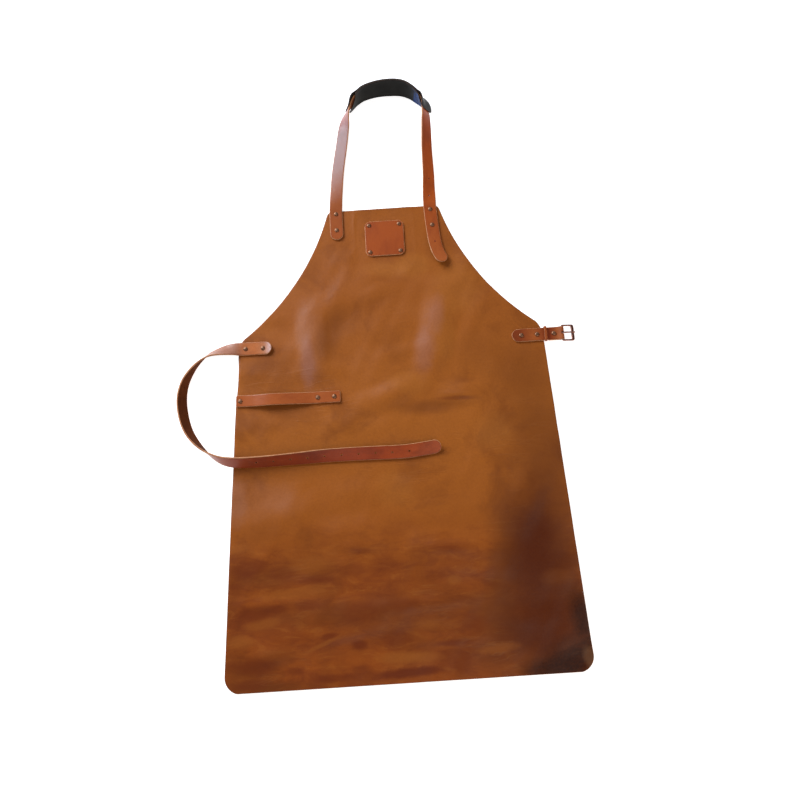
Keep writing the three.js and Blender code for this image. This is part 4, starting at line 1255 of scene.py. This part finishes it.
prongMesh = sweep("bucklePin", prongStations(), False)
prongMesh.transform(buckleTurn)
addPiece("bucklePin", prongMesh, [buckleMetal], "buckle_prong", "buckle_prong")
print("buckle ready")


# Floor, light and camera

def makeFloor():
    look = newLook("paleFloor", {"Roughness": 0.9, "Specular IOR Level": 0.1})
    spot = look.node("ShaderNodeTexCoord", {}, {}, "Object")
    mottle = look.noise(spot, 3.0, 2.0)
    color = look.blend(mottle, (0.82, 0.82, 0.82, 1), (0.84, 0.84, 0.84, 1))
    material = look.set({"Base Color": color, "Emission Color": (1, 1, 1, 1), "Emission Strength": 0.82})
    mesh = bpy.data.meshes.new("floor")
    size, drop = 12.0, -0.0003
    corners = [(-size, -size, drop), (size, -size, drop), (size, size, drop), (-size, size, drop)]
    mesh.from_pydata(corners, [], [(0, 1, 2, 3)])
    mesh.materials.append(material)
    floor = bpy.data.objects.new("floor", mesh)
    scene.collection.objects.link(floor)


def addLight(name, place, aim, size, power, color):
    data = bpy.data.lights.new(name, "AREA")
    data.shape = "RECTANGLE"
    data.size, data.size_y = size
    data.energy = power
    data.color = color
    light = bpy.data.objects.new(name, data)
    light.location = place
    light.rotation_euler = (Vector(aim) - Vector(place)).to_track_quat("-Z", "Y").to_euler()
    scene.collection.objects.link(light)


def makeWorld():
    # a dim room that is pale and cool on the side of the window, beyond the left of the bib
    look = Look(bpy.data.worlds.new("studio"), "Background", {"Strength": 1.0})
    direction = look.node("ShaderNodeTexCoord", {}, {}, "Generated")
    x = look.node("ShaderNodeSeparateXYZ", {}, {0: direction}, "X")
    y, upward = x.other("Y"), x.other("Z")
    ceiling = (0.8, (0.1, 0.1, 0.11, 1))
    pale = look.ramp(upward, [(0.0, (0.62, 0.66, 0.74, 1)), (0.45, (0.46, 0.5, 0.56, 1)), ceiling])
    dim = look.ramp(upward, [(0.0, (0.17, 0.15, 0.13, 1)), (0.45, (0.16, 0.15, 0.14, 1)), ceiling])
    facing = look.between(y * 0.75 - x * 0.65, 0.1, 0.8)
    scene.world = look.set({"Color": look.blend(facing, dim, pale)})


makeFloor()
makeWorld()
addLight("window", (-1.5, 1.75, 1.3), (0, 0.1, 0), (1.6, 1.3), 86, (0.84, 0.91, 1.0))
addLight("fill", (1.2, -1.4, 1.4), (0, 0, 0), (3.0, 3.0), 30, (1.0, 0.95, 0.9))
addLight("blueSky", (-2.0, -0.5, 0.55), (0.1, 0.6, 0), (1.0, 0.5), 3, (0.3, 0.55, 1.0))

cameraView = {"place": (0.012, -0.3365, 1.44617), "tilt": 15.0, "roll": 3.7, "lens": 38.25, "sensor": 36.0}
cameraData = bpy.data.cameras.new("camera")
cameraData.lens = cameraView["lens"]
cameraData.sensor_width = cameraView["sensor"]
camera = bpy.data.objects.new("camera", cameraData)
camera.matrix_world = (Matrix.Translation(cameraView["place"])
                       @ Matrix.Rotation(math.radians(cameraView["tilt"]), 4, "X")
                       @ Matrix.Rotation(math.radians(-cameraView["roll"]), 4, "Z"))
scene.collection.objects.link(camera)
scene.camera = camera
print("scene ready")
